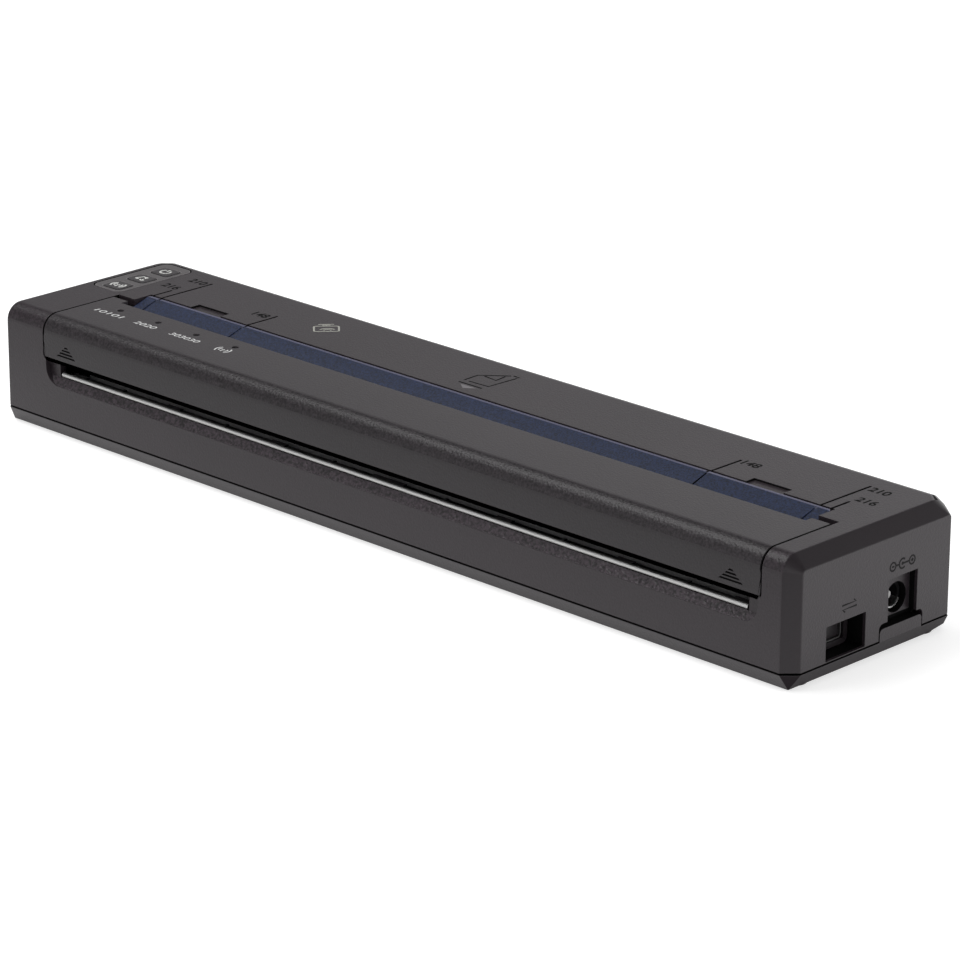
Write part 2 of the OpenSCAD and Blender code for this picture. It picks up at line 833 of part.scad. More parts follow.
module lower_case() {
    color(case_grey) difference() {
        union() {
            difference() {
                tray_shape();
                translate([0, 0, floor_top]) linear_extrude(body_h) plan(wall + base_inset / 2);
            }
            // Rims inside the front and rear walls of the upper case
            for (y = [front_y + wall + part_gap, rear_y - wall - part_gap - rim_t])
                block([-right_x + rim_end, y, floor_top], [right_x - rim_end, y + rim_t, split_z + rim_h]);
            for (p = screw_places) post(p, case_bottom, case_boss_top, case_boss_r);
            for (s = [-1, 1], y = [boss_front_y, boss_rear_y])
                post([path_x + s * boss_x, y], case_bottom, chassis_z, chassis_boss_r);
            for (p = board_screw_places) post(p, case_bottom, board_z, standoff_r);
            // Rails, guide wall and end stop of the battery bay
            for (y = [pack_y - pack_d / 4, pack_y + pack_d / 4])
                block([pack_l, y - rail_t / 2, floor_top], [pack_r, y + rail_t / 2, pack_low - rail_gap]);
            block([pack_l + pack_len / 8, pack_y - pack_d / 2 - rail_gap - rail_t, floor_top],
                [pack_r, pack_y - pack_d / 2 - rail_gap, pack_low + pack_h / 4]);
            block([pack_r + wide_gap + contact_t, pack_y - pack_d / 2, floor_top],
                [pack_r + wide_gap + contact_t + rail_t, pack_y + pack_d / 2, pack_low + pack_h / 2]);
        }
        for (p = screw_places) {
            post(p, -cut, body_h, case_shank_r + 2 * close_gap);
            post(p, -cut, case_boss_top - case_seat_t, case_head_r + part_gap);
        }
        for (s = [-1, 1], y = [boss_front_y, boss_rear_y])
            post([path_x + s * boss_x, y], floor_top, body_h, pilot_r);
        for (p = board_screw_places) post(p, case_bottom + floor_t / 2, body_h, pilot_r);
        for (sx = [-1, 1], sy = [-1, 1])
            post([sx * foot_x, sy * foot_y], -cut, foot_t, foot_r + foot_gap);
    }
}

module rubber_feet() {
    color(black_plastic) for (sx = [-1, 1], sy = [-1, 1])
        post([sx * foot_x, sy * foot_y], 0, foot_t, foot_r);
}

module case_screws() {
    seat_z = case_boss_top - case_seat_t;
    color(steel) for (p = screw_places) {
        post(p, seat_z - case_head_h, seat_z, case_head_r);
        post(p, seat_z, case_boss_top + case_shank_len / 2, case_shank_r);
    }
}

// Paper path: the ramp's front line runs from the deck down to the print head
ramp_line_shares = [[0, 0], [0.46, 0.13], [0.57, 0.185], [0.66, 0.25], [0.76, 0.37],
    [0.83, 0.51], [0.89, 0.76], [1, 1]];
throat_back = 16.9;
throat_y = front_y + throat_back;
ramp_foot_z = head_top + head_t;
ramp_top_z = body_h - ramp_set;
ramp_front = [for (p = ramp_line_shares)
    [slope_y - p[0] * (slope_y - throat_y), ramp_top_z - p[1] * (ramp_top_z - ramp_foot_z)]];
function side_of(a, b) = [a[1] - b[1], b[0] - a[0]] / norm(b - a);
function thicken(line, t) = [for (i = [len(line) - 1:-1:1])
    let (n = i == len(line) - 1 ? side_of(line[i - 1], line[i])
        : side_of(line[i - 1], line[i]) + side_of(line[i], line[i + 1]))
    line[i] + t * n / norm(n)];
ramp_back = thicken(ramp_front, ramp_t);

module ramp_groove(x) {
    along_x(x - width_mark_w / 2, x + width_mark_w / 2)
        polygon([[slope_y - ramp_edge, body_h + cut], [slope_y - ramp_edge, ramp_top_z - groove_deep],
            ramp_front[1] - [0, groove_deep], ramp_front[2] - [0, groove_deep],
            [ramp_front[2][0], body_h + cut]]);
}

module paper_ramp() {
    color(ramp_blue) difference() {
        union() {
            along_x(ramp_l, ramp_r) {
                polygon(concat(ramp_front, ramp_back, [[slope_y, deck_under]]));
                polygon([[slope_y - ramp_edge, deck_under - ramp_t / 2],
                    [slope_y - ramp_edge, deck_under + ramp_t / 2],
                    [slope_y, ramp_top_z], [land_y - ramp_edge, ramp_top_z], [land_y, ramp_top_z - ramp_edge],
                    [land_y, deck_under - ramp_t / 2]]);
            }
            // Tabs that seat under the deck
            for (i = [0:tab_count - 1])
                block([tab_x + i * tab_pitch, land_y - ramp_edge, deck_under - ramp_t / 2],
                    [tab_x + i * tab_pitch + tab_w, land_y + tab_d, deck_under]);
            // Ears that carry the sensor lever
            for (s = [-1, 1])
                translate([path_x + s * (lever_t / 2 + sensor_ear_gap + sensor_ear_t / 2) - sensor_ear_t / 2,
                    cover_rear_y - ramp_t / 2, lever_z - sensor_h / 2])
                    cube([sensor_ear_t, lever_y + ramp_t * 2 - cover_rear_y, sensor_h]);
        }
        block([path_x - sensor_slot / 2, throat_y, lever_z - sensor_h / 2 - cut],
            [path_x + sensor_slot / 2, cover_rear_y + ramp_t / 4, lever_z + sensor_h / 2 + cut]);
        for (h = [full_half, small_half], s = [-1, 1]) ramp_groove(path_x + s * h);
        rod(path_x - 2 * sensor_slot, path_x + 2 * sensor_slot, lever_y, lever_z, lever_pin_r + close_gap);
        // The rear corners are bevelled
        for (x = [ramp_l, ramp_r])
            translate([x, land_y, ramp_top_z]) rotate([0, 0, 45]) cube(ramp_t, center = true);
    }
}

module guide_pad(x, w) {
    block([x - w / 2, guide_front_y + close_gap, guide_top - pad_h],
        [x + w / 2, guide_rear_y - close_gap, guide_top + pad_h]);
}

module exit_guide() {
    color(black_plastic) {
        x0 = ramp_l + part_gap;
        x1 = ramp_r - part_gap;
        block([x0, guide_front_y, chassis_z], [x1, chassis_front_y, guide_top]);
        block([x0, guide_front_y, guide_top - guide_t], [x1, guide_rear_y, guide_top]);
        guide_pad(path_x, pad_mid_w);
        for (s = [-1, 1]) {
            for (i = [1:pads_each_side - 1]) guide_pad(path_x + s * i * pad_pitch, pad_w);
            for (i = [0:pads_each_side - 1]) guide_pad(path_x + s * (i + 1 / 2) * pad_pitch, 2 * groove_w);
            guide_pad(path_x + s * (ramp_w / 2 - part_gap - pad_w / 2), pad_w);
        }
    }
}

module tear_bar() {
    bar_y = recess_floor_y + bar_r;
    x0 = ramp_l - bar_side;
    x1 = ramp_r + bar_side;
    color(steel) {
        block([x0, bar_y, shelf_z], [x1, shelf_rear_y, shelf_z + bar_base_h]);
        rod(x0, x1, bar_y, shelf_z + bar_r, bar_r);
    }
}

// Buttons
module button_panel() {
    color(panel_grey) difference() {
        translate([0, 0, body_h - panel_t]) linear_extrude(panel_t + panel_proud) panel_outline(0);
        for (i = [0:2]) button_hole(i, body_h - panel_t - cut, body_h + cut);
    }
}

module push_button(i) {
    y = button_first_y + i * button_pitch;
    skirt_top = deck_under - panel_gap;
    color(black_plastic) {
        translate([button_cx, y, skirt_top - button_skirt_t / 2])
            linear_extrude(body_h + button_proud - skirt_top + button_skirt_t / 2)
            rounded_rect([button_x, button_y], button_round);
        translate([button_cx, y, skirt_top - button_skirt_t]) linear_extrude(button_skirt_t)
            rounded_rect([button_x + 2 * button_skirt, button_y + 2 * button_skirt], button_round);
        post([button_cx, y], button_foot_low, deck_under, button_foot_r);
    }
}

module power_button() { push_button(2); }
module feed_button() { push_button(1); }
module wireless_button() { push_button(0); }

module button_board() {
    color(board_green) difference() {
        block([panel_l + panel_round, panel_y0 - button_board_end,
            button_board_top - button_board_t],
            [panel_r - panel_round / 4, panel_y1 + button_board_end / 3, button_board_top]);
        for (y = post_ys) post([button_cx, y], 0, body_h, panel_pin_r + close_gap);
    }
}

module button_switches() {
    color(steel) for (i = [0:2])
        translate([button_cx, button_first_y + i * button_pitch, button_board_top]) {
            translate([-switch_w / 2, -switch_w / 2, 0]) cube([switch_w, switch_w, switch_h]);
            cylinder(r = switch_cap_r, h = switch_h + switch_cap_h);
        }
}

// Release cover
module cover_shell() {
    difference() {
        intersection() {
            case_shape(0);
            union() {
                cover_face(0, front_y - cut, cover_rear_y);
                for (x = [cover_l, cover_r - zone_w + seam])
                    block([x, front_y + wall, lip_z], [x + zone_w - seam, ear_rear_y, body_h + cut]);
            }
        }
        case_shape(cover_wall);
    }
}

module cover_end_wall(x0) {
    along_x(x0, x0 + end_wall_t) {
        translate([platen_y, platen_z]) circle(boss_r);
        intersection() {
            end_outline(cover_wall / 2);
            polygon([[front_y, lip_z + wide_gap], [platen_y - boss_r, lip_z + wide_gap],
                [platen_y - boss_r, platen_z], [platen_y + boss_r, platen_z],
                [hinge_y, hinge_z], [hinge_y, body_h], [front_y, body_h]]);
        }
        translate([latch_y - latch_w / 2, latch_low]) square([latch_w, platen_z - latch_low]);
        translate([hinge_y, hinge_z]) circle(ear_r);
    }
}

// Side view of a rib, from the cover's rear edge forwards and down
rib_line_shares = [[0, 0], [0.1, 0.4], [0.4, 1], [0.55, 1], [1, 0]];
rib_line = [for (p = rib_line_shares)
    [cover_rear_y - part_gap - p[0] * rib_d, body_h - cover_wall - p[1] * rib_h]];
rib_roof = [[cover_rear_y - part_gap - rib_d, body_h - cover_wall / 2],
    [cover_rear_y - part_gap, body_h - cover_wall / 2]];
function rib_x(i) = path_x + (i - (rib_count - 1) / 2) * rib_pitch - rib_t / 2;

module front_arrow(s) {
    arrow_pitch = arrow_h / arrow_bars;
    for (k = [0:arrow_bars - 1]) {
        low_half = arrow_half * (arrow_bars - k) / arrow_bars;
        top_half = low_half - arrow_half * arrow_bar_h / arrow_h;
        translate([path_x + s * arrow_x, front_y + groove_deep,
            body_h - arrow_down - arrow_h + k * arrow_pitch])
            rotate([90, 0, 0]) linear_extrude(groove_deep + cut)
            polygon([[-low_half, 0], [low_half, 0], [top_half, arrow_bar_h], [-top_half, arrow_bar_h]]);
    }
}

module release_cover() {
    color(front_grey) difference() {
        union() {
            cover_shell();
            cover_end_wall(cover_l);
            cover_end_wall(cover_r - end_wall_t);
            // Ears round the hinge pins
            for (x = [cover_l, cover_r - zone_w / 2]) rod(x, x + zone_w / 2, hinge_y, hinge_z, ear_r);
            // Ribs that steer the paper off the cover's rear edge
            for (i = [0:rib_count - 1])
                along_x(rib_x(i), rib_x(i) + rib_t) polygon(concat(rib_line, rib_roof));
            // Ears of the curl flap
            for (x = [ramp_l + flap_side - flap_ear_t, ramp_r - flap_side])
                along_x(x, x + flap_ear_t) intersection() {
                    end_outline(cover_wall / 2);
                    translate([front_y, flap_z - 2 * flap_barrel_r])
                        square([cover_wall + flap_in + 2 * flap_barrel_r, body_h]);
                }
        }
        // Bores for the bushes, the hinge pins, the flap's pins and the windows
        rod(cover_l - cut, cover_r + cut, platen_y, platen_z, bush_r + bush_gap);
        rod(cover_l - cut, cover_r + cut, hinge_y, hinge_z, hinge_pin_r + close_gap);
        rod(ramp_l, ramp_r, flap_y, flap_z, flap_pin_r + close_gap);
        for (i = [0:3])
            post([path_x + window_x + i * window_pitch, window_y],
                body_h - 2 * cover_wall, body_h + cut, window_r);
        for (s = [-1, 1]) front_arrow(s);
    }
}

module hinge_pins() {
    color(steel) {
        rod(cover_l - seam - cheek_t, cover_l + zone_w / 2 - wide_gap, hinge_y, hinge_z, hinge_pin_r);
        rod(cover_r - zone_w / 2 + wide_gap, cover_r + seam + cheek_t, hinge_y, hinge_z, hinge_pin_r);
    }
}

module light_pipes() {
    color([0.15, 0.16, 0.15]) for (i = [0:3]) {
        p = [path_x + window_x + i * window_pitch, window_y];
        post(p, pipe_low, body_h - groove_deep, window_r - close_gap);
        post(p, pipe_low, pipe_low + pipe_flange_t, pipe_flange_r);
    }
}

module indicator_board() {
    x0 = path_x + window_x - indicator_side;
    x1 = path_x + window_x + 3 * window_pitch + indicator_side;
    y1 = indicator_y0 + indicator_d;
    color(board_green) difference() {
        block([x0, indicator_y0, indicator_top - indicator_t], [x1, y1, indicator_top]);
        for (i = [0:rib_count - 1])
            block([rib_x(i) - wide_gap, window_y - window_r, 0],
                [rib_x(i) + rib_t + wide_gap, y1 + cut, body_h]);
    }
    // Lamps under the light pipes, and the two spacers up to the cover
    color(steel) {
        for (i = [0:3])
            translate([path_x + window_x + i * window_pitch - window_r, window_y - window_r,
                indicator_top])
                cube([2 * window_r, 2 * window_r, (pipe_low - indicator_top) / 2]);
        for (i = [1, 3])
            post([path_x + window_x + (i - 1 / 2) * window_pitch, window_y],
                indicator_top, body_h - cover_wall, window_r);
    }
}

module curl_flap() {
    x0 = ramp_l + flap_side + wide_gap;
    x1 = ramp_r - flap_side - wide_gap;
    color(black_plastic) {
        rod(x0, x1, flap_y, flap_z, flap_barrel_r);
        rod(x0 - flap_ear_t, x1 + flap_ear_t, flap_y, flap_z, flap_pin_r);
        block([x0, flap_y - flap_t / 2, flap_low], [x1, flap_y + flap_t / 2, flap_z]);
    }
}

// Platen
module platen_roller() {
    color([0.16, 0.16, 0.17])
        tube(ramp_l + wide_gap, ramp_r - wide_gap, platen_y, platen_z, platen_r, shaft_r);
}

module platen_shaft() {
    color(steel) rod(cover_l + shaft_stub, cover_r - shaft_stub, platen_y, platen_z, shaft_r);
}

module platen_bush(x, flange_x) {
    difference() {
        union() {
            rod(x, x + end_wall_t, platen_y, platen_z, bush_r);
            rod(flange_x, flange_x + bush_flange_t, platen_y, platen_z, bush_flange_r);
        }
        rod(x - end_wall_t - cut, x + 2 * end_wall_t + cut, platen_y, platen_z, shaft_r + close_gap);
    }
}

module platen_bushes() {
    color([0.85, 0.83, 0.78]) {
        platen_bush(cover_l, cover_l + end_wall_t);
        platen_bush(cover_r - end_wall_t, cover_r - end_wall_t - bush_flange_t);
    }
}

module platen_gear() {
    color([0.9, 0.9, 0.86]) gear(platen_y, platen_z, platen_teeth, mesh_angle + 180 / platen_teeth, shaft_r);
}

// Drive
module idler_gear() {
    color([0.9, 0.9, 0.86]) gear(idler_y, idler_z, idler_teeth, mesh_angle + 180, axle_r + close_gap);
}

// The pinion is turned so that its gap meets the idler's nearest tooth
idler_step = 360 / idler_teeth;
idler_turn = motor_angle - mesh_angle - 180;
idler_lead = idler_turn - floor(idler_turn / idler_step) * idler_step;
pinion_turn = motor_angle + 180 + idler_teeth / pinion_teeth * idler_lead + 180 / pinion_teeth;

module motor_pinion() {
    color([0.83, 0.68, 0.4]) {
        gear(motor_y, motor_z, pinion_teeth, pinion_turn, motor_shaft_r / 2);
        rod(gear_x, chassis_l + plate_t, motor_y, motor_z, motor_shaft_r);
    }
}

module idler_axle() {
    color(steel) {
        rod(gear_x - axle_cap_t, chassis_l + plate_t / 2, idler_y, idler_z, axle_r);
        rod(gear_x - axle_cap_t - close_gap, gear_x - close_gap, idler_y, idler_z, axle_cap_r);
    }
}

module drive_motor() {
    can_x = chassis_l + plate_t;
    color(steel) difference() {
        union() {
            rod(can_x, can_x + motor_len, motor_y, motor_z, motor_r);
            rod(chassis_l, can_x + motor_len / 2, motor_y, motor_z, motor_pilot_r);
        }
        rod(chassis_l - cut, can_x + cut, motor_y, motor_z, motor_shaft_r + close_gap);
    }
}

module chassis() {
    idler_top = idler_z + idler_gear_r;
    motor_rear = motor_y + motor_r;
    motor_low = motor_z - motor_r + plate_t;
    left = [[chassis_front_y, chassis_z], [chassis_front_y, cheek_low], [platen_y + shaft_r, cheek_mid],
        [idler_y - idler_gear_r, idler_top], [idler_y + idler_gear_r - axle_r, idler_top],
        [motor_rear, motor_z + motor_r], [motor_rear, motor_low],
        [chassis_rear_y, motor_low], [chassis_rear_y, chassis_z]];
    right = [[chassis_front_y, chassis_z], [chassis_front_y, cheek_low], [platen_y + shaft_r, cheek_mid],
        [chassis_rear_y, cheek_mid], [chassis_rear_y, chassis_z]];
    color(steel) difference() {
        union() {
            block([chassis_l, chassis_front_y, chassis_z], [chassis_r, chassis_rear_y, chassis_top]);
            along_x(chassis_l, chassis_l + plate_t) polygon(left);
            along_x(chassis_r - plate_t, chassis_r) polygon(right);
        }
        for (s = [-1, 1], y = [boss_front_y, boss_rear_y])
            post([path_x + s * boss_x, y], chassis_z - cut, chassis_top + cut, pilot_r + close_gap);
        rod(chassis_l - cut, chassis_l + plate_t + cut, idler_y, idler_z, axle_r);
        rod(chassis_l - cut, chassis_l + plate_t + cut, motor_y, motor_z, motor_pilot_r);
    }
}

module chassis_screws() {
    color(steel) for (s = [-1, 1], y = [boss_front_y, boss_rear_y]) {
        post([path_x + s * boss_x, y], chassis_top, chassis_top + screw_head_h, screw_head_r);
        post([path_x + s * boss_x, y], chassis_top - screw_len, chassis_top, pilot_r - close_gap);
    }
}

module latch_clip(x, f0, f1) {
    y0 = latch_y - latch_w / 2;
    y1 = latch_y + latch_w / 2;
    block([x, y0, clip_low], [x + clip_t, y1, clip_top]);
    block([f0, y0, clip_low], [f1, y1, clip_low + clip_t]);
}

module latch_clips() {
    xl = cover_l + end_wall_t + wide_gap;
    xr = cover_r - end_wall_t - wide_gap - clip_t;
    color(steel) {
        latch_clip(xl, xl, chassis_l);
        latch_clip(xr, chassis_r, xr + clip_t);
    }
}

// Print head
module thermal_head() {
    color([0.93, 0.92, 0.88]) {
        block([path_x - head_w / 2, head_front_y, head_top - head_t],
            [path_x + head_w / 2, head_rear_y, head_top - glaze_h]);
        block([path_x - head_w / 2 + glaze_w, platen_y - glaze_w / 2, head_top - head_t],
            [path_x + head_w / 2 - glaze_w, platen_y + glaze_w / 2, head_top]);
    }
}

module head_heatsink() {
    color([0.75, 0.76, 0.78]) block([path_x - head_w / 2, sink_front_y, sink_low],
        [path_x + head_w / 2, sink_rear_y, head_top - head_t]);
}

module head_springs() {
    color(steel) for (i = [0:spring_count - 1]) {
        p = [path_x + (i - (spring_count - 1) / 2) * spring_pitch, platen_y];
        difference() {
            post(p, chassis_top, sink_low, spring_r);
            post(p, 0, body_h, spring_r - spring_wire);
        }
    }
}

module head_cable() {
    y0 = sink_rear_y;
    y1 = chassis_rear_y + cable_t;
    mid = sink_low + sink_t / 2;
    color([0.85, 0.6, 0.3]) along_x(path_x + cable_x, path_x + cable_x + cable_w)
        polygon([[y0, mid - cable_t], [y0, mid], [y1 + cable_t, mid], [y1 + cable_t, board_top],
            [y1, board_top], [y1, mid - cable_t]]);
}

// Paper sensor
module paper_sensor() {
    y0 = lever_y + ramp_t * 2 - ramp_t / 2;
    w = lever_t / 2 + sensor_ear_gap + sensor_ear_t;
    color(black_plastic) block([path_x - w, y0, lever_z - sensor_h / 2],
        [path_x + w, y0 + sensor_d, lever_z + sensor_h / 2]);
}

module sensor_lever() {
    w = lever_t / 2 + sensor_ear_gap + sensor_ear_t;
    tip = [cover_rear_y - lever_reach, lever_z + lever_rise];
    color(black_plastic) {
        along_x(path_x - lever_t / 2, path_x + lever_t / 2) {
            translate([lever_y, lever_z]) circle(lever_arm_r);
            polygon([[lever_y, lever_z - lever_arm_r], [lever_y, lever_z + lever_arm_r],
                [tip[0], tip[1] + lever_arm_r / 2], [tip[0], tip[1] - lever_arm_r / 2]]);
        }
        rod(path_x - w, path_x + w, lever_y, lever_z, lever_pin_r);
    }
}

// Boards
module main_board() {
    color(board_green) difference() {
        union() {
            block([board_l, board_front_y, board_z], [board_r, board_mid_y, board_top]);
            block([board_wing_l, board_front_y, board_z], [board_r, board_wing_y, board_top]);
        }
        for (p = screw_places) post(p, 0, body_h, case_boss_r + board_hole_gap);
        for (s = [-1, 1], y = [boss_front_y, boss_rear_y])
            post([path_x + s * boss_x, y], 0, body_h, chassis_boss_r + board_hole_gap);
        for (p = board_screw_places) post(p, 0, body_h, pilot_r + close_gap);
    }
}

module board_screws() {
    color(steel) for (p = board_screw_places) {
        post(p, board_top, board_top + screw_head_h, screw_head_r);
        post(p, board_top - screw_len / 2 - close_gap, board_top, pilot_r - close_gap);
    }
}

module board_components() {
    y = (2 * board_front_y + board_mid_y) / 3;
    color(black_plastic) {
        for (i = [0:len(chip_place_shares) - 1]) {
            x = board_l + chip_place_shares[i] * (board_r - board_l);
            w = chip_w * chip_size_shares[i];
            block([x - w / 2, y - chip_d / 2, board_top], [x + w / 2, y + chip_d / 2, board_top + chip_h]);
        }
        for (i = [0:cap_count - 1])
            post([board_wing_l + cap_in + i * cap_pitch, board_wing_y - cap_edge],
                board_top, board_top + cap_h, cap_r);
        translate([board_wing_l + cap_r, board_mid_y, board_top]) cube([coil_w, coil_d, coil_h]);
    }
}

module wireless_module() {
    color(steel) translate([board_l + module_in, board_mid_y - module_d, board_top])
        cube([module_w, module_d, module_h]);
}

// Ports
module usb_socket() {
    y0 = port_y - socket_w / 2;
    y1 = port_y + socket_w / 2;
    x0 = socket_face_x - socket_len;
    mid = board_top + socket_h / 2;
    color(steel) {
        difference() {
            block([x0, y0, board_top], [socket_face_x, y1, board_top + socket_h]);
            block([x0 + socket_len / 4, y0 + socket_wall, board_top + socket_wall],
                [socket_face_x + cut, y1 - socket_wall, board_top + socket_h - socket_wall]);
        }
        block([x0 + socket_len / 8, port_y - socket_w / 4, mid - socket_tongue_t / 2],
            [socket_face_x - socket_len / 8, port_y + socket_w / 4, mid + socket_tongue_t / 2]);
    }
}

module dc_jack() {
    color(black_plastic) difference() {
        block([jack_face_x - jack_body_len, jack_y - jack_body_w / 2, board_top],
            [jack_face_x, jack_y + jack_body_w / 2, jack_z + jack_body_w / 2]);
        rod(jack_face_x - jack_bore_deep, jack_face_x + cut, jack_y, jack_z, jack_bore_r);
    }
}

module dc_jack_pin() {
    x0 = jack_face_x - jack_bore_deep;
    color(steel) rod(x0, x0 + jack_pin_len, jack_y, jack_z, jack_pin_r);
}

module jack_filler() {
    color(case_grey) difference() {
        along_x(jack_floor_x + close_gap, right_x) filler_outline(0, filler_slot);
        block([0, -body_d, -body_h], [body_w, body_d, split_z + close_gap]);
    }
}

// Battery
module battery_pack() {
    color(black_plastic) along_x(pack_l, pack_r)
        translate([pack_y, pack_low + pack_h / 2]) rounded_rect([pack_d, pack_h], pack_round);
}

module battery_contacts() {
    x0 = pack_r + wide_gap;
    color([0.85, 0.7, 0.35]) for (s = [-1, 1])
        translate([x0, pack_y + s * pack_d / 4 - contact_w / 2, pack_low])
            cube([contact_t, contact_w, pack_h / 2 - pack_round]);
}

module battery_door() {
    door_y = (door_y0 + door_y1) / 2;
    color(case_grey) difference() {
        union() {
            along_x(-right_x, -right_x + wall) door_outline(0);
            // Tongues inside the edges of the opening
            for (y = [door_y0 + door_round, door_y1 - door_round - 2 * door_lug_t])
                block([-right_x + wall / 2, y, pack_low + pack_h / 4],
                    [-right_x + wall + door_lug_t, y + 2 * door_lug_t, pack_low + 3 * pack_h / 4]);
        }
        // Grip grooves
        for (i = [1:3])
            translate([-right_x - cut, door_y - door_grip_w / 2, door_top - (2 * i + 1) * door_grip_h])
                cube([cut + groove_w, door_grip_w, door_grip_h]);
    }
}

upper_case();
lower_case();
paper_ramp();
exit_guide();
tear_bar();
button_panel();
power_button();
feed_button();
wireless_button();
button_board();
button_switches();
release_cover();
hinge_pins();
light_pipes();
indicator_board();
curl_flap();
platen_roller();
platen_shaft();
platen_bushes();
platen_gear();
latch_clips();
chassis();
thermal_head();
head_heatsink();
head_springs();
head_cable();
drive_motor();
motor_pinion();
idler_gear();
idler_axle();
paper_sensor();
sensor_lever();
main_board();
board_components();
wireless_module();
usb_socket();
dc_jack();
dc_jack_pin();
jack_filler();
battery_pack();
battery_contacts();
battery_door();
rubber_feet();
case_screws();
chassis_screws();
board_screws();
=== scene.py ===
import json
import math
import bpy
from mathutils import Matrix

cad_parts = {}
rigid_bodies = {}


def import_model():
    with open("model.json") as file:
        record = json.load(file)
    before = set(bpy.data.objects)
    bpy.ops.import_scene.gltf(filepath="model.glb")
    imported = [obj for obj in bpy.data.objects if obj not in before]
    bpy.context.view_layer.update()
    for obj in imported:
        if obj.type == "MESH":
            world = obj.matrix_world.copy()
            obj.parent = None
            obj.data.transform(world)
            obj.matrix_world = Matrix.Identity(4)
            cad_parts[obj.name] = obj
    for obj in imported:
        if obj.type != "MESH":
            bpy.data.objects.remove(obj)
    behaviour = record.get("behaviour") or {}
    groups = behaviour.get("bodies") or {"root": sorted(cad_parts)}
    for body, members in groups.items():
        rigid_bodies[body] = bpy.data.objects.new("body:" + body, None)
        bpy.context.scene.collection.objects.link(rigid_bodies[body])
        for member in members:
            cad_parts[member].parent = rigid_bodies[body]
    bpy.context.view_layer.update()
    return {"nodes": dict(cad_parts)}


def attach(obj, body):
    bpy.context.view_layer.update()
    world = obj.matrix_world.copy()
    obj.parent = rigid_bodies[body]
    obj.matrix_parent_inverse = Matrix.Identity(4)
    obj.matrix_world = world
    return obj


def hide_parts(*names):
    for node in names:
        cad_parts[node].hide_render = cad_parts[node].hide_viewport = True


bl_info = {
    "name": "Portable thermal printer",
    "version": (1, 0, 0),
    "blender": (4, 5, 0),
    "location": "View3D > Sidebar > Printer",
    "description": "Dresses the printer's fixed frame in moulded plastic, metal and printed marks",
    "category": "Object",
}

import bmesh
import bpy
from mathutils import Quaternion, Vector

for leftover in list(bpy.data.objects):
    bpy.data.objects.remove(leftover)
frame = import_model()
NODES = frame["nodes"]
MM = 0.001

# Places on the printer, in millimetres, in the frame's own axes
TOP_Z = 30.0
CASE_END_X = 127.5
PATH_X = 3.9
DECK_FRONT_Y = 2.6
COVER_ENDS_X = (-110.8, 118.6)
RECESS_ENDS_X = (-111.1, 118.9)
PANEL_X = (-123.3, -111.9)
PANEL_Y = (-2.7, 23.9)
HALVES_SEAM_Z = 3.7
ROUND_FOOT_Z = 21.5
GUIDE_LINES_X = (-105.0, -74.0, 74.0)
GUIDE_HALF = 0.3
PORT_Y = -9.9
PORT_HALF = 6.6
PORT_Z = (4.2, 12.4)
PORT_LIP_X = 126.7
JACK_Y = 9.0
JACK_Z = 11.6
JACK_POCKET_Y = (3.8, 13.6)
JACK_POCKET_Z = (7.5, 17.5)
BUTTON_X = -117.0
BUTTON_YS = (17.6, 9.8, 2.0)
BUTTON_TOP_Z = 30.2
BUTTON_PRINT_Z = 30.16
NEAR_TOP_Z = 29.8
# A face with raised marks lies this much lower, so that they stay inside the frame's box
MARK_ROOM = 0.04
# Corners within this reach of such a face belong to it
FACE_REACH = 0.05
PRINT_UP = 0.03

SMOOTH_ANGLE = math.radians(40)
BEVEL_ANGLE = math.radians(25.0)
FLAT_ANGLE = math.radians(0.4)
# Corners nearer than this are one corner, in metres
WELD_REACH = 0.000002
# Bevel width of the strips in the exit slot, in metres
FINE_EDGE = 0.0001

# Where the camera stands, fitted to the picture: millimetres, degrees and metres
CAMERA_TARGET = (10.257, 0.0, 11.378)
CAMERA_AZIMUTH = 44.368
CAMERA_HEIGHT = 19.531
CAMERA_AWAY = 0.9917
# The light and the floor, in metres
LIGHT_DIRECTION = (-0.40, -0.30, 0.84)
LIGHT_SIZE = (1.1, 0.4)
LIGHT_AWAY = 1.2
FLOOR_SIZE = 6.0


# Settings


class PrinterFinish(bpy.types.PropertyGroup):
    case_colour: bpy.props.FloatVectorProperty(
        name="Case colour", description="Colour of the moulded case",
        subtype="COLOR", size=3, min=0.0, max=1.0, default=(0.025, 0.0185, 0.023))
    cover_colour: bpy.props.FloatVectorProperty(
        name="Cover colour", description="Colour of the release cover",
        subtype="COLOR", size=3, min=0.0, max=1.0, default=(0.030, 0.0245, 0.0285))
    ramp_colour: bpy.props.FloatVectorProperty(
        name="Ramp colour", description="Colour of the blue paper ramp",
        subtype="COLOR", size=3, min=0.0, max=1.0, default=(0.0085, 0.0165, 0.050))
    panel_colour: bpy.props.FloatVectorProperty(
        name="Panel colour", description="Colour of the button panel",
        subtype="COLOR", size=3, min=0.0, max=1.0, default=(0.082, 0.075, 0.078))
    print_colour: bpy.props.FloatVectorProperty(
        name="Print colour", description="Colour of the printed pictograms",
        subtype="COLOR", size=3, min=0.0, max=1.0, default=(0.80, 0.82, 0.80))
    edge_width: bpy.props.FloatProperty(
        name="Edge softness", description="Width of the softened outer edges",
        subtype="DISTANCE", unit="LENGTH", min=0.00005, max=0.0005, default=0.0003)
    grain_size: bpy.props.FloatProperty(
        name="Grain size", description="Size of the grain moulded into the plastic",
        subtype="DISTANCE", unit="LENGTH", min=0.0001, max=0.002, default=0.00045)


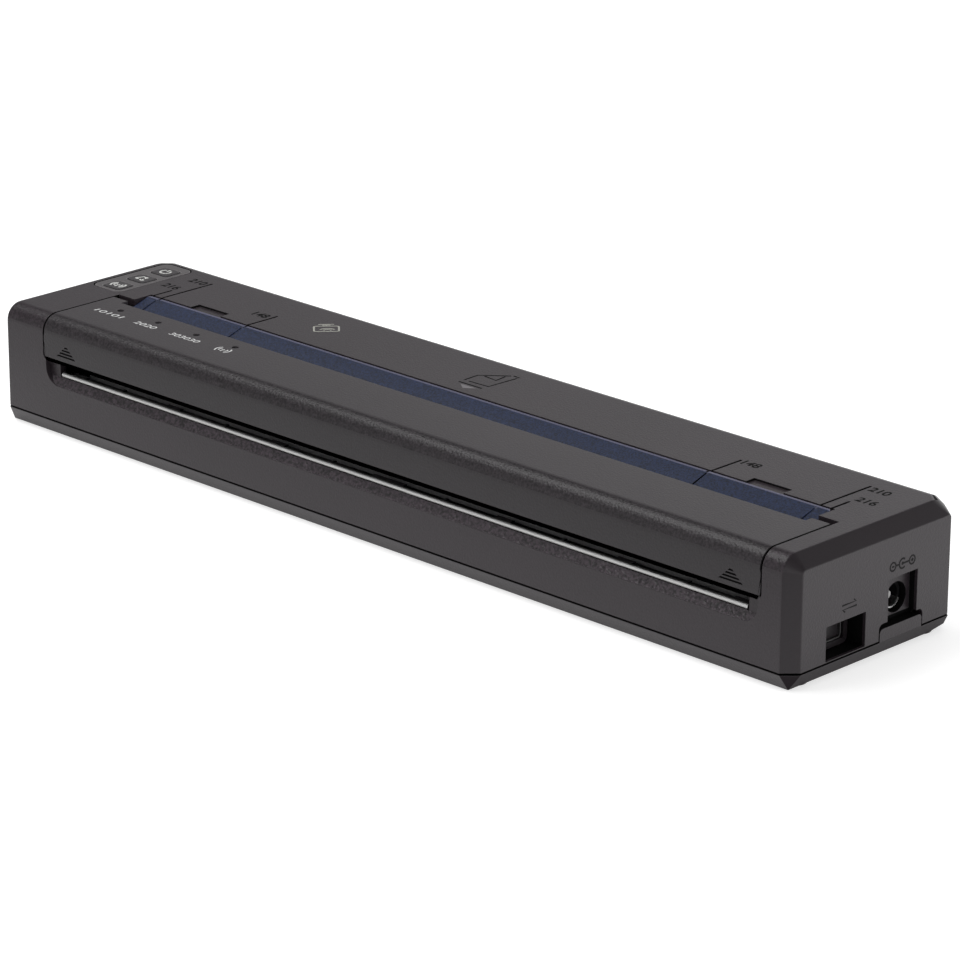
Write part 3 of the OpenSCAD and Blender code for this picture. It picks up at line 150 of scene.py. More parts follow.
class PrinterMarks(bpy.types.PropertyGroup):
    number_height: bpy.props.FloatProperty(
        name="Number height", description="Height of the paper width numbers on the deck",
        subtype="DISTANCE", unit="LENGTH", min=0.001, max=0.004, default=0.0026)
    line_width: bpy.props.FloatProperty(
        name="Line width", description="Width of the lines in the pictograms",
        subtype="DISTANCE", unit="LENGTH", min=0.0001, max=0.001, default=0.00036)
    wide_number: bpy.props.IntProperty(
        name="Wide sheet", description="Width of the widest sheet in millimetres",
        min=1, max=999, default=216)
    full_number: bpy.props.IntProperty(
        name="Full sheet", description="Width of the full sheet in millimetres",
        min=1, max=999, default=210)
    small_number: bpy.props.IntProperty(
        name="Small sheet", description="Width of the small sheet in millimetres",
        min=1, max=999, default=148)


class PrinterStage(bpy.types.PropertyGroup):
    lens: bpy.props.FloatProperty(
        name="Lens", description="Focal length of the camera in millimetres",
        min=20.0, max=300.0, default=162.43)
    roll: bpy.props.FloatProperty(
        name="Roll", description="Turn of the camera about its own line of sight",
        subtype="ANGLE", min=-0.1, max=0.1, default=0.0037)
    light_power: bpy.props.FloatProperty(
        name="Soft light", description="Power of the long light overhead",
        unit="POWER", min=0.0, max=200.0, default=8.0)
    world_level: bpy.props.FloatProperty(
        name="Room light", description="Level of the even light all round",
        min=0.0, max=2.0, default=0.9)
    ceiling_level: bpy.props.FloatProperty(
        name="Ceiling", description="Level of the dark ceiling as the printer mirrors it",
        min=0.0, max=2.0, default=0.08)


# Shader groups


def new_group(name, inputs):
    """An empty group with these inputs that puts out a tone, a roughness and a height."""
    group = bpy.data.node_groups.new(name, "ShaderNodeTree")
    for label, kind, value in inputs:
        socket = group.interface.new_socket(label, in_out="INPUT", socket_type=kind)
        socket.default_value = value
    for label in ("Tone", "Roughness", "Height"):
        group.interface.new_socket(label, in_out="OUTPUT", socket_type="NodeSocketFloat")
    start = group.nodes.new("NodeGroupInput")
    end = group.nodes.new("NodeGroupOutput")
    return group, start, end


def math_node(tree, operation, a, b, clamp=False):
    """The output of a Math node; a and b are numbers or sockets."""
    node = tree.nodes.new("ShaderNodeMath")
    node.operation = operation
    node.use_clamp = clamp
    for socket, value in zip(node.inputs, (a, b)):
        if isinstance(value, (int, float)):
            socket.default_value = value
        else:
            tree.links.new(value, socket)
    return node.outputs[0]


def noise(tree, vector, scale, detail, rough):
    """The output of a Noise node whose place and scale are sockets."""
    node = tree.nodes.new("ShaderNodeTexNoise")
    node.inputs["Detail"].default_value = detail
    node.inputs["Roughness"].default_value = rough
    tree.links.new(vector, node.inputs["Vector"])
    tree.links.new(scale, node.inputs["Scale"])
    return node.outputs["Fac"]


def build_grain_group():
    """Fine moulded grain: a tone round one, a change of roughness and a height."""
    group, start, end = new_group(
        "moulded_grain",
        [("Vector", "NodeSocketVector", (0, 0, 0)), ("Scale", "NodeSocketFloat", 2000.0),
         ("Mottle", "NodeSocketFloat", 0.1), ("Speckle", "NodeSocketFloat", 0.1)])
    vector = start.outputs["Vector"]
    scale = start.outputs["Scale"]
    fine = noise(group, vector, scale, 3.0, 0.62)
    coarse_scale = math_node(group, "MULTIPLY", scale, 0.012)
    coarse = noise(group, vector, coarse_scale, 3.0, 0.55)
    cells = group.nodes.new("ShaderNodeTexVoronoi")
    cells.feature = "SMOOTH_F1"
    cells.inputs["Smoothness"].default_value = 0.6
    group.links.new(vector, cells.inputs["Vector"])
    group.links.new(scale, cells.inputs["Scale"])
    height = math_node(group, "ADD", math_node(group, "MULTIPLY", fine, 0.6),
                       math_node(group, "MULTIPLY", cells.outputs["Distance"], 0.7))
    speck = math_node(group, "MULTIPLY", math_node(group, "SUBTRACT", fine, 0.5),
                      math_node(group, "MULTIPLY", start.outputs["Speckle"], 4.0))
    cloud = math_node(group, "MULTIPLY", math_node(group, "SUBTRACT", coarse, 0.5),
                      math_node(group, "MULTIPLY", start.outputs["Mottle"], 2.0))
    tone = math_node(group, "ADD", 1.0, math_node(group, "ADD", speck, cloud))
    rough = math_node(group, "ADD", math_node(group, "MULTIPLY", fine, 0.12), -0.06)
    group.links.new(tone, end.inputs["Tone"])
    group.links.new(rough, end.inputs["Roughness"])
    group.links.new(height, end.inputs["Height"])


def build_brush_group():
    """Fine lines of drawn metal along X: a tone round one, a roughness and a height."""
    group, start, end = new_group(
        "drawn_metal",
        [("Vector", "NodeSocketVector", (0, 0, 0)), ("Scale", "NodeSocketFloat", 3000.0),
         ("Stain", "NodeSocketFloat", 0.1)])
    stretch = group.nodes.new("ShaderNodeMapping")
    stretch.inputs["Scale"].default_value = (0.03, 1.0, 1.0)
    group.links.new(start.outputs["Vector"], stretch.inputs["Vector"])
    lines = noise(group, stretch.outputs["Vector"], start.outputs["Scale"], 2.0, 0.6)
    stain_scale = math_node(group, "MULTIPLY", start.outputs["Scale"], 0.03)
    stains = noise(group, start.outputs["Vector"], stain_scale, 4.0, 0.6)
    cloud = math_node(group, "MULTIPLY", math_node(group, "SUBTRACT", stains, 0.5),
                      math_node(group, "MULTIPLY", start.outputs["Stain"], 2.0))
    line_tone = math_node(group, "MULTIPLY", math_node(group, "SUBTRACT", lines, 0.5), 0.25)
    tone = math_node(group, "ADD", 1.0, math_node(group, "ADD", cloud, line_tone))
    rough = math_node(group, "MULTIPLY", math_node(group, "ADD", lines, stains), 0.16)
    group.links.new(tone, end.inputs["Tone"])
    group.links.new(rough, end.inputs["Roughness"])
    group.links.new(lines, end.inputs["Height"])


# Materials


def shade(colour, factor):
    """The colour made lighter or darker, with its fourth value at one."""
    return tuple(min(1.0, c * factor) for c in colour[:3]) + (1.0,)


def make_finish(name, colour, group, scale, rough, mottle=0.08, speckle=0.06, bump=0.25,
                height=0.00002, metallic=0.0, specular=0.5, sheen=0.0):
    """One finish: the group's tone turns into the colour, its height into a bump."""
    material = bpy.data.materials.new(name)
    material.use_nodes = True
    tree = material.node_tree
    shader = tree.nodes["Principled BSDF"]
    place = tree.nodes.new("ShaderNodeTexCoord")
    grain = tree.nodes.new("ShaderNodeGroup")
    grain.node_tree = bpy.data.node_groups[group]
    grain.inputs["Scale"].default_value = scale
    if group == "moulded_grain":
        grain.inputs["Mottle"].default_value = mottle
        grain.inputs["Speckle"].default_value = speckle
    else:
        grain.inputs["Stain"].default_value = mottle
    tree.links.new(place.outputs["Object"], grain.inputs["Vector"])
    tint = tree.nodes.new("ShaderNodeMix")
    tint.data_type = "RGBA"
    tint.blend_type = "MIX"
    tint.inputs["A"].default_value = shade(colour, 0.25)
    tint.inputs["B"].default_value = shade(colour, 1.75)
    share = math_node(tree, "ADD", grain.outputs["Tone"], -0.5, True)
    tree.links.new(share, tint.inputs["Factor"])
    tree.links.new(tint.outputs["Result"], shader.inputs["Base Color"])
    level = math_node(tree, "ADD", grain.outputs["Roughness"], rough, True)
    tree.links.new(level, shader.inputs["Roughness"])
    relief = tree.nodes.new("ShaderNodeBump")
    relief.inputs["Strength"].default_value = bump
    relief.inputs["Distance"].default_value = height
    tree.links.new(grain.outputs["Height"], relief.inputs["Height"])
    tree.links.new(relief.outputs["Normal"], shader.inputs["Normal"])
    shader.inputs["Metallic"].default_value = metallic
    shader.inputs["Specular IOR Level"].default_value = specular
    if sheen:
        shader.inputs["Sheen Weight"].default_value = sheen


def build_materials(finish):
    """Every finish: plastics by name, colour, grain scale and roughness, then the metals."""
    grain = 1.0 / finish.grain_size
    case = tuple(finish.case_colour)
    cover = tuple(finish.cover_colour)
    skin = dict(mottle=0.12, speckle=0.2, bump=1.0, height=0.00004)
    rounded = dict(mottle=0.15, speckle=0.6, bump=1.0, height=0.00008, specular=0.32)
    plastics = [
        ("case_plastic", case, 1.0, 0.42, skin),
        ("case_round", case, 0.8, 0.4, rounded),
        # A darker copy of the case's colour: painted shade on the slanted bevels at the ends
        ("case_bevel", shade(case, 0.75), 1.0, 0.42,
         dict(mottle=0.1, speckle=0.09, bump=0.4, specular=0.4)),
        # A darker, duller copy of the case's colour: painted shade on the base's sloped ends
        ("case_under", shade(case, 0.7), 1.0, 0.5, dict(mottle=0.1, bump=0.4, specular=0.12)),
        # A lighter copy of the case's colour with a coarse grain: the grain is real, and the
        # lighter colour is painted light on the band below the tear bar
        ("case_coarse", shade(case, 1.35), 0.6, 0.4,
         dict(mottle=0.2, speckle=1.0, bump=1.0, height=0.00015)),
        # Near black: painted shade on the walls inside the ports
        ("case_inside", (0.003, 0.003, 0.003), 1.0, 0.6, dict(bump=0.3, specular=0.1)),
        ("cover_plastic", cover, 1.0, 0.42, skin),
        # Darker copies of the cover's colour: painted shade on its front rounding and its front
        # face
        ("cover_round", shade(cover, 0.75), 0.8, 0.4, rounded),
        ("cover_front", shade(cover, 0.72), 1.0, 0.42, skin),
        ("port_plastic", shade(case, 0.55), 1.0, 0.35, dict(bump=0.3)),
        # Near black: painted shade in seams, gaps, grooves and holes, and on the deck's engraved
        # numbers and sheet sign
        ("mark_groove", (0.003, 0.003, 0.003), 1.0, 0.7, dict(bump=0.2, specular=0.1)),
        # Darker than the case: painted shade on the raised signs in the right end
        ("mark_relief", (0.006, 0.005, 0.006), 1.0, 0.6, dict(bump=0.2, specular=0.2)),
        ("white_print", tuple(finish.print_colour), 1.0, 0.45, dict(bump=0.1, mottle=0.05)),
        ("pale_print", (0.36, 0.36, 0.32), 1.0, 0.5, dict(bump=0.1)),
        ("panel_plastic", tuple(finish.panel_colour), 1.0, 0.45,
         dict(mottle=0.06, speckle=0.08, bump=0.35)),
        ("panel_rim", (0.13, 0.12, 0.125), 1.0, 0.4, dict(bump=0.2)),
        ("button_rubber", (0.042, 0.038, 0.041), 1.0, 0.5, dict(bump=0.3)),
        ("button_print", (0.62, 0.63, 0.56), 1.0, 0.5, dict(bump=0.1)),
        ("ramp_plastic", tuple(finish.ramp_colour), 1.1, 0.42,
         dict(mottle=0.15, speckle=0.9, bump=1.0)),
        # A lighter copy of the ramp's blue: a painted highlight on the flat land along its rear
        # edge
        ("ramp_land", (0.090, 0.090, 0.145), 1.1, 0.4, dict(mottle=0.1, speckle=0.2, bump=0.3)),
        # Grey: painted light on the paper guide deep in the exit slot, and the print colour of the
        # deck's arrow
        ("head_edge", (0.13, 0.12, 0.13), 1.0, 0.4, dict(mottle=0.1, bump=0.3)),
        ("head_glaze", (0.50, 0.46, 0.36), 1.0, 0.18, dict(mottle=0.06, bump=0.05)),
        ("head_ceramic", (0.80, 0.76, 0.76), 1.0, 0.5, dict(mottle=0.06, bump=0.1)),
        ("black_plastic", (0.012, 0.012, 0.013), 1.0, 0.35, dict(mottle=0.15, bump=0.3)),
        ("white_plastic", (0.62, 0.62, 0.58), 1.0, 0.4,
         dict(mottle=0.04, speckle=0.02, bump=0.15)),
        ("smoked_lens", (0.006, 0.006, 0.007), 1.0, 0.2, dict(bump=0.05)),
        ("roller_rubber", (0.02, 0.02, 0.021), 0.8, 0.7,
         dict(mottle=0.15, speckle=0.2, bump=0.4, sheen=0.1)),
        ("foot_rubber_skin", (0.016, 0.016, 0.017), 0.8, 0.8,
         dict(mottle=0.2, speckle=0.25, bump=0.6, sheen=0.1)),
        ("board_lacquer", (0.02, 0.11, 0.05), 0.6, 0.3, dict(mottle=0.2, speckle=0.1, bump=0.3)),
        ("battery_skin", (0.014, 0.014, 0.016), 1.0, 0.4, dict(mottle=0.1, bump=0.2)),
    ]
    for name, colour, scale, rough, more in plastics:
        make_finish(name, colour, "moulded_grain", grain * scale, rough, **more)
    metals = [
        ("port_steel", (0.16, 0.16, 0.16), 3500.0, 0.3, 0.1, 0.2),
        ("bright_steel", (0.62, 0.62, 0.60), 3500.0, 0.16, 0.08, 0.2),
        ("tear_steel", (0.95, 0.95, 0.92), 3500.0, 0.3, 0.05, 0.2),
        ("brass_metal", (0.60, 0.42, 0.16), 3500.0, 0.2, 0.1, 0.2),
        ("sink_metal", (0.52, 0.53, 0.55), 2500.0, 0.3, 0.1, 0.3),
    ]
    for name, colour, scale, rough, stain, bump in metals:
        make_finish(name, colour, "drawn_metal", scale, rough, mottle=stain, bump=bump,
                    metallic=1.0)


# The finish of every frame node that stays in view
NODE_FINISH = {
    "tear_bar": "tear_steel", "button_board": "board_lacquer",
    "button_switches": "black_plastic", "hinge_pins": "bright_steel",
    "light_pipes": "smoked_lens", "indicator_board": "board_lacquer",
    "curl_flap": "black_plastic", "platen_roller": "roller_rubber",
    "platen_shaft": "bright_steel", "platen_bushes": "white_plastic",
    "platen_gear": "white_plastic", "latch_clips": "bright_steel", "chassis": "bright_steel",
    "head_heatsink": "sink_metal", "head_springs": "bright_steel",
    "head_cable": "white_plastic", "drive_motor": "sink_metal", "motor_pinion": "brass_metal",
    "idler_gear": "white_plastic", "idler_axle": "bright_steel",
    "paper_sensor": "black_plastic", "sensor_lever": "black_plastic",
    "main_board": "board_lacquer", "board_components": "black_plastic",
    "wireless_module": "sink_metal", "dc_jack": "black_plastic", "dc_jack_pin": "tear_steel",
    "battery_pack": "battery_skin", "battery_contacts": "brass_metal",
    "rubber_feet": "foot_rubber_skin", "case_screws": "bright_steel",
    "chassis_screws": "bright_steel", "board_screws": "bright_steel",
}


# Modelling helpers


def between(value, limits):
    """Whether the value lies between the two limits."""
    return limits[0] < value < limits[1]


def close_to(value, places, reach):
    """Whether the value lies within reach of one of the places."""
    return min(abs(value - place) for place in places) < reach


def deselect_all():
    """Goes to object mode and selects nothing."""
    if bpy.context.mode != "OBJECT":
        bpy.ops.object.mode_set(mode="OBJECT")
    bpy.ops.object.select_all(action="DESELECT")


def only(piece):
    """Selects this object and nothing else."""
    deselect_all()
    piece.select_set(True)
    bpy.context.view_layer.objects.active = piece


def edit_faces(piece, test):
    """Enters edit mode on the faces whose middle, in millimetres, and normal pass the test."""
    bpy.context.tool_settings.mesh_select_mode = (False, False, True)
    for face in piece.data.polygons:
        face.select = test(face.center / MM, face.normal)
    only(piece)
    bpy.ops.object.mode_set(mode="EDIT")


def leave_edit_mode():
    """Goes back to object mode with nothing selected in the mesh."""
    bpy.ops.mesh.select_all(action="DESELECT")
    bpy.ops.object.mode_set(mode="OBJECT")
    bpy.context.tool_settings.mesh_select_mode = (True, False, False)


def settle(piece, body):
    """Applies the piece's place, and lets it ride on its body."""
    only(piece)
    bpy.ops.object.transform_apply(location=True, rotation=True, scale=True)
    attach(piece, body)


def paint(piece, *names):
    """Gives the piece these finishes; all its faces start with the first."""
    piece.data.materials.clear()
    for name in names:
        piece.data.materials.append(bpy.data.materials[name])


def merged_copy(node, name):
    """A copy of a CAD node's mesh with its loose triangles joined into faces."""
    mesh = NODES[node].data.copy()
    mesh.name = name
    piece = bpy.data.objects.new(name, mesh)
    bpy.context.scene.collection.objects.link(piece)
    only(piece)
    if mesh.has_custom_normals:
        bpy.ops.mesh.customdata_custom_splitnormals_clear()
    bpy.ops.object.mode_set(mode="EDIT")
    bpy.ops.mesh.select_all(action="SELECT")
    bpy.ops.mesh.remove_doubles(threshold=WELD_REACH)
    bpy.ops.mesh.dissolve_limited(angle_limit=FLAT_ANGLE)
    leave_edit_mode()
    return piece


def soften(piece, width, share, segments=2, edge_finish=""):
    """Bevels the edges sharper than the bevel angle by width times share.

    Share is a number, or a rule on the edge's middle and its two normals."""
    mesh = piece.data
    work = bmesh.new()
    work.from_mesh(mesh)
    layer = work.edges.layers.float.get("bevel_weight_edge")
    if layer is None:
        layer = work.edges.layers.float.new("bevel_weight_edge")
    for edge in work.edges:
        if len(edge.link_faces) != 2:
            continue
        a, b = edge.link_faces
        if a.normal.angle(b.normal, 0.0) < BEVEL_ANGLE:
            continue
        middle = (edge.verts[0].co + edge.verts[1].co) / 2 / MM
        edge[layer] = share(middle, a.normal, b.normal) if callable(share) else share
    work.to_mesh(mesh)
    work.free()
    only(piece)
    bevel = piece.modifiers.new("soft edges", "BEVEL")
    bevel.limit_method = "WEIGHT"
    bevel.width = width
    bevel.segments = segments
    bevel.use_clamp_overlap = False
    bevel.miter_outer = "MITER_ARC"
    bevel.material = piece.data.materials.find(edge_finish)
    bpy.ops.object.modifier_apply(modifier=bevel.name)
    bpy.ops.object.shade_smooth_by_angle(angle=SMOOTH_ANGLE)
    even = piece.modifiers.new("even shading", "WEIGHTED_NORMAL")
    even.mode = "FACE_AREA_WITH_ANGLE"
    even.weight = 100
    even.keep_sharp = True
    bpy.ops.object.modifier_apply(modifier=even.name)


def repaint(piece, finish, test):
    """Gives the finish to the faces whose middle, in millimetres, and normal pass the test."""
    index = piece.data.materials.find(finish)
    for face in piece.data.polygons:
        if test(face.center / MM, face.normal):
            face.material_index = index


def split_faces(piece, test, x):
    """Cuts the faces that pass the test along the plane X, in millimetres."""
    edit_faces(piece, test)
    bpy.ops.mesh.bisect(plane_co=(x * MM, 0, 0), plane_no=(1, 0, 0))
    leave_edit_mode()


def round_box(name, low, high, radius, wall, deep, finish):
    """A shell along X with rounded long edges, open towards +X to the given depth."""
    deselect_all()
    middle = [(a + b) / 2 * MM for a, b in zip(low, high)]
    bpy.ops.mesh.primitive_cube_add(size=1.0, location=middle)
    piece = bpy.context.view_layer.objects.active
    piece.name = name
    piece.scale = [(b - a) * MM for a, b in zip(low, high)]
    only(piece)
    bpy.ops.object.transform_apply(location=True, rotation=True, scale=True)
    for edge in piece.data.edges:
        a, b = (piece.data.vertices[i].co for i in edge.vertices)
        edge.select = abs(a.x - b.x) > 1e-5
    bpy.context.tool_settings.mesh_select_mode = (False, True, False)
    for face in piece.data.polygons:
        face.select = False
    bpy.ops.object.mode_set(mode="EDIT")
    bpy.ops.mesh.bevel(offset=radius * MM, segments=6, affect="EDGES")
    leave_edit_mode()
    edit_faces(piece, lambda p, n: n.x > 0.9)
    bpy.ops.mesh.inset(thickness=wall * MM)
    bpy.ops.mesh.extrude_region_move(TRANSFORM_OT_translate={"value": (-deep * MM, 0, 0)})
    bpy.ops.mesh.select_all(action="SELECT")
    bpy.ops.mesh.normals_make_consistent(inside=False)
    leave_edit_mode()
    bpy.ops.object.shade_smooth_by_angle(angle=SMOOTH_ANGLE)
    paint(piece, finish)
    return piece


def arc(cx, cy, radius, start, end, steps):
    """Points along an arc, with its angles in degrees."""
    points = []
    for i in range(steps + 1):
        angle = math.radians(start + (end - start) * i / steps)
        points.append((cx + radius * math.cos(angle), cy + radius * math.sin(angle)))
    return points


def add_line(curve, points, closed):
    """Adds a line through the points, in millimetres, to the curve."""
    spline = curve.splines.new("POLY")
    spline.points.add(len(points) - 1)
    spline.use_cyclic_u = closed
    for point, (x, y) in zip(spline.points, points):
        point.co = (x * MM, y * MM, 0, 1)


def as_mesh(name, curve):
    """A mesh object made from the curve."""
    piece = bpy.data.objects.new(name, curve)
    bpy.context.scene.collection.objects.link(piece)
    only(piece)
    bpy.ops.object.convert(target="MESH")
    return bpy.context.view_layer.objects.active


def line_mark(name, lines, width, finish):
    """A flat drawing of thin round-ended lines in the XY plane, in millimetres."""
    curve = bpy.data.curves.new(name, "CURVE")
    curve.dimensions = "3D"
    curve.bevel_depth = width / 2
    curve.bevel_resolution = 1
    curve.use_fill_caps = True
    for points in lines:
        closed = points[0] == points[-1]
        add_line(curve, points[:-1] if closed else points, closed)
    piece = as_mesh(name, curve)
    piece.scale = (1, 1, PRINT_UP * MM / width)
    bpy.ops.object.transform_apply(location=False, rotation=False, scale=True)
    paint(piece, finish)
    return piece


def filled_mark(name, points, finish):
    """A flat filled outline in the XY plane, in millimetres."""
    curve = bpy.data.curves.new(name, "CURVE")
    curve.dimensions = "2D"
    curve.fill_mode = "BOTH"
    curve.extrude = PRINT_UP * MM / 4
    add_line(curve, points, True)
    piece = as_mesh(name, curve)
    paint(piece, finish)
    return piece


def number_mark(name, text, height, finish, slant=0.0, weight=0.0):
    """A printed number whose lower left corner lies at the origin."""
    deselect_all()
    bpy.ops.object.text_add()
    piece = bpy.context.view_layer.objects.active
    piece.name = name
    piece.data.body = text
    piece.data.size = height * 1.4
    piece.data.shear = slant
    piece.data.offset = weight
    piece.data.extrude = PRINT_UP * MM / 4
    only(piece)
    bpy.ops.object.convert(target="MESH")
    piece = bpy.context.view_layer.objects.active
    paint(piece, finish)
    return piece


def wave_lines(reach, mast_top, mast_foot):
    """The lines of a mast with two waves on either side."""
    lines = []
    for x, start in ((-0.3, 130), (0.3, -50)):
        lines += [arc(x, 0, 0.9, start, start + 100, 6), arc(x, 0, reach, start, start + 100, 8)]
    return lines + [[(0, mast_top), (0, mast_foot)], arc(0, 0.1, 0.2, 0, 360, 8)]


def lay_on_top(piece, x, y, body, turn=0.0, z=TOP_Z):
    """Lays a flat mark on the printer's top, turned by the given degrees."""
    piece.location = (x * MM, y * MM, (z + PRINT_UP / 4) * MM)
    piece.rotation_euler = (0, 0, math.radians(turn))
    settle(piece, body)


def lay_on_end(piece, y, z, body, x):
    """Stands a flat mark against the right end."""
    piece.location = ((x - PRINT_UP / 4) * MM, y * MM, z * MM)
    piece.rotation_euler = (math.radians(90), 0, math.radians(90))
    settle(piece, body)


# Operators


class PRINTER_OT_finishes(bpy.types.Operator):
    """Build the shader groups and every finish, and give the inner parts theirs"""
    bl_idname = "printer.finishes"
    bl_label = "Finishes"

    def execute(self, context):
        build_grain_group()
        build_brush_group()
        build_materials(context.scene.printer_finish)
        for node, finish in NODE_FINISH.items():
            for slot in NODES[node].material_slots:
                slot.material = bpy.data.materials[finish]
        return {"FINISHED"}


class PRINTER_OT_case(bpy.types.Operator):
    """Model the two case halves with soft edges from the frame's own shapes"""
    bl_idname = "printer.case"
    bl_label = "Case"

    def edges(self, p, a, b):
        slanted = 0.3 < abs(a.x) < 0.95 or 0.3 < abs(b.x) < 0.95
        if abs(p.x) > 123.8 and slanted:
            return 1.0
        at_panel = between(p.x, PANEL_X) and between(p.y, PANEL_Y) and p.z > NEAR_TOP_Z
        return 0.8 if at_panel else 0.25

    def in_data_port(self, p):
        return abs(p.y - PORT_Y) < PORT_HALF and between(p.z, PORT_Z)

    def in_port(self, p, n):
        jack = between(p.y, JACK_POCKET_Y) and between(p.z, JACK_POCKET_Z)
        return (self.in_data_port(p) or jack) and 110 < p.x < 127.45 and abs(n.x) < 0.5

    # Faces in the seam, gaps, grooves, the slot over the tab and the jack's bore, which get
    # painted shade
    def in_gap(self, p, n):
        seam = p.z < 4.2 and n.z < 0.3 and abs(p.z - HALVES_SEAM_Z) < 0.45
        walls = abs(n.x) > 0.9 and p.z > 19 and close_to(p.x, RECESS_ENDS_X, 0.3)
        front = n.y < -0.9 and abs(p.y - DECK_FRONT_Y) < 0.3 and p.z > 27.5
        floors = n.z > 0.9 and 29.6 < p.z < 29.8 and p.y > DECK_FRONT_Y
        sides = abs(n.z) < 0.4 and 29.35 < p.z < 29.93 and abs(p.x) < 120
        panel = (between(p.x, PANEL_X) and between(p.y, PANEL_Y) and -0.5 < n.z < 0.98
                 and p.z > 28.8)
        slot = 120 < p.x < 127.4 and 2.2 < p.y < 14.6 and 3.6 < p.z < 7.95
        hole = 110 < p.x < 125.2 and (p.y - JACK_Y) ** 2 + (p.z - JACK_Z) ** 2 < 13.5
        return seam or walls or front or floors or sides or panel or slot or hole

    def upper_half(self, width):
        """The upper half, with painted shade in its ports, gaps and grooves and on its end bevels,
        painted light on the coarse band below the tear bar, and its own finish on each kind of
        face.
        """
        upper = merged_copy("upper_case", "case_top")
        for corner in upper.data.vertices:
            if corner.co.x > (CASE_END_X - FACE_REACH) * MM:
                corner.co.x -= MARK_ROOM * MM
        paint(upper, "case_plastic", "case_round", "case_coarse", "case_inside", "mark_groove",
              "case_bevel")
        split_faces(upper, self.in_port, PORT_LIP_X)
        soften(upper, width, self.edges)
        # The slanted bevels at both ends get painted shade
        repaint(upper, "case_bevel", lambda p, n: 0.35 < abs(n.x) < 0.93
                and abs(p.x - PATH_X) > 116 and abs(p.x) > 118)
        repaint(upper, "case_round", lambda p, n: p.y < -19 and p.z > ROUND_FOOT_Z
                and n.y < -0.12 and n.z > 0.12 and abs(n.x) < 0.35)
        # The coarse band below the tear bar, lighter as painted light
        repaint(upper, "case_coarse", lambda p, n: -27.3 < p.y < -25.9 and 12.9 < p.z < 15.3
                and n.y < -0.2 and n.z > 0.2 and -106 < p.x < 114)
        # The walls inside the data port and the jack pocket get painted shade
        repaint(upper, "case_inside", lambda p, n: self.in_port(p, n) and p.x < PORT_LIP_X)
        repaint(upper, "case_inside", lambda p, n: self.in_data_port(p) and 110 < p.x < 126)
        repaint(upper, "mark_groove", self.in_gap)
        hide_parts("upper_case")
        settle(upper, "base")

    def lower_half(self, width):
        """The lower half, with painted shade in its seam and on the slopes at its ends."""
        lower = merged_copy("lower_case", "case_base")
        paint(lower, "case_plastic", "mark_groove", "case_under")
        soften(lower, width, 0.25)
        # The seam gets painted shade
        repaint(lower, "mark_groove", lambda p, n: n.z > 0.5 and 3.3 < p.z < 4.0)
        # The sloped ends of the base get painted shade
        repaint(lower, "case_under",
                lambda p, n: abs(n.x) > 0.5 and n.z < -0.1 and abs(p.x) > 120)
        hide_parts("lower_case")
        settle(lower, "base")

    def execute(self, context):
        width = context.scene.printer_finish.edge_width
        self.upper_half(width)
        self.lower_half(width)
        filler = merged_copy("jack_filler", "jack_cover_tab")
        paint(filler, "case_plastic", "mark_groove")
        soften(filler, width, 0.2)
        # The sides of the tab get painted shade
        repaint(filler, "mark_groove", lambda p, n: n.x < 0.5)
        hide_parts("jack_filler")
        settle(filler, "base")
        door = merged_copy("battery_door", "battery_lid")
        paint(door, "case_plastic")
        soften(door, width, 0.4)
        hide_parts("battery_door")
        settle(door, "door")
        return {"FINISHED"}


class PRINTER_OT_cover(bpy.types.Operator):
    """Model the release cover with soft edges from the frame's own shape"""
    bl_idname = "printer.cover"
    bl_label = "Release cover"

    def edges(self, p, a, b):
        in_arrow = abs(p.x - PATH_X) > 100 and p.y < -27.0 and 20.5 < p.z < 24.6
        at_seam = close_to(p.x, COVER_ENDS_X, 0.1) and p.z > 14
        if in_arrow or p.y > -7.5 and p.z < 28:
            return 0.0
        return 0.9 if at_seam and p.y < -8 else 0.3

    # Faces beside the side seams, at the rear and in the front arrows, which get painted shade
    def in_gap(self, p, n):
        sides = abs(n.x) > 0.3 and close_to(p.x, COVER_ENDS_X, 0.3) and p.z > 15
        rear = n.y > 0.9 and p.y > -7.4 and p.z > 27
        arrows = 100 < abs(p.x - PATH_X) < 110 and -27.46 < p.y < -27.0 and 20.8 < p.z < 24.3
        return sides or rear or arrows

    def execute(self, context):
        cover = merged_copy("release_cover", "cover_shell")
        paint(cover, "cover_plastic", "cover_round", "mark_groove", "cover_front")
        soften(cover, context.scene.printer_finish.edge_width, self.edges)
        # The front rounding and the front face get painted shade
        repaint(cover, "cover_round", lambda p, n: p.y < -19 and p.z > ROUND_FOOT_Z
                and n.y < -0.12 and n.z > 0.12)
        repaint(cover, "cover_front",
                lambda p, n: p.y < -19 and n.y < -0.85 and abs(n.z) <= 0.12)
        repaint(cover, "mark_groove", self.in_gap)
        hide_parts("release_cover")
        settle(cover, "cover")
        return {"FINISHED"}


class PRINTER_OT_exit_slot(bpy.types.Operator):
    """Paint the print head with pale front faces and black top faces near the front, the paper
    guide lighter as painted light, and painted shade on its pads' sides under the cover's lip
    """
    bl_idname = "printer.exit_slot"
    bl_label = "Exit slot"

    def execute(self, context):
        head = merged_copy("thermal_head", "head_strip")
        paint(head, "head_glaze", "head_ceramic", "black_plastic")
        soften(head, FINE_EDGE, 0.5)
        repaint(head, "head_ceramic", lambda p, n: n.y < -0.5)
        repaint(head, "black_plastic", lambda p, n: n.z > 0.5 and p.y < -18)
        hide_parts("thermal_head")
        settle(head, "base")
        guide = merged_copy("exit_guide", "guide_strip")
        # The guide is lighter as painted light, and the sides of its pads under the cover's lip
        # get painted shade
        paint(guide, "head_edge", "mark_groove")
        soften(guide, FINE_EDGE, 0.5)
        repaint(guide, "mark_groove", lambda p, n: p.z > 15.25 and abs(n.z) < 0.5)
        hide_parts("exit_guide")
        settle(guide, "base")
        return {"FINISHED"}


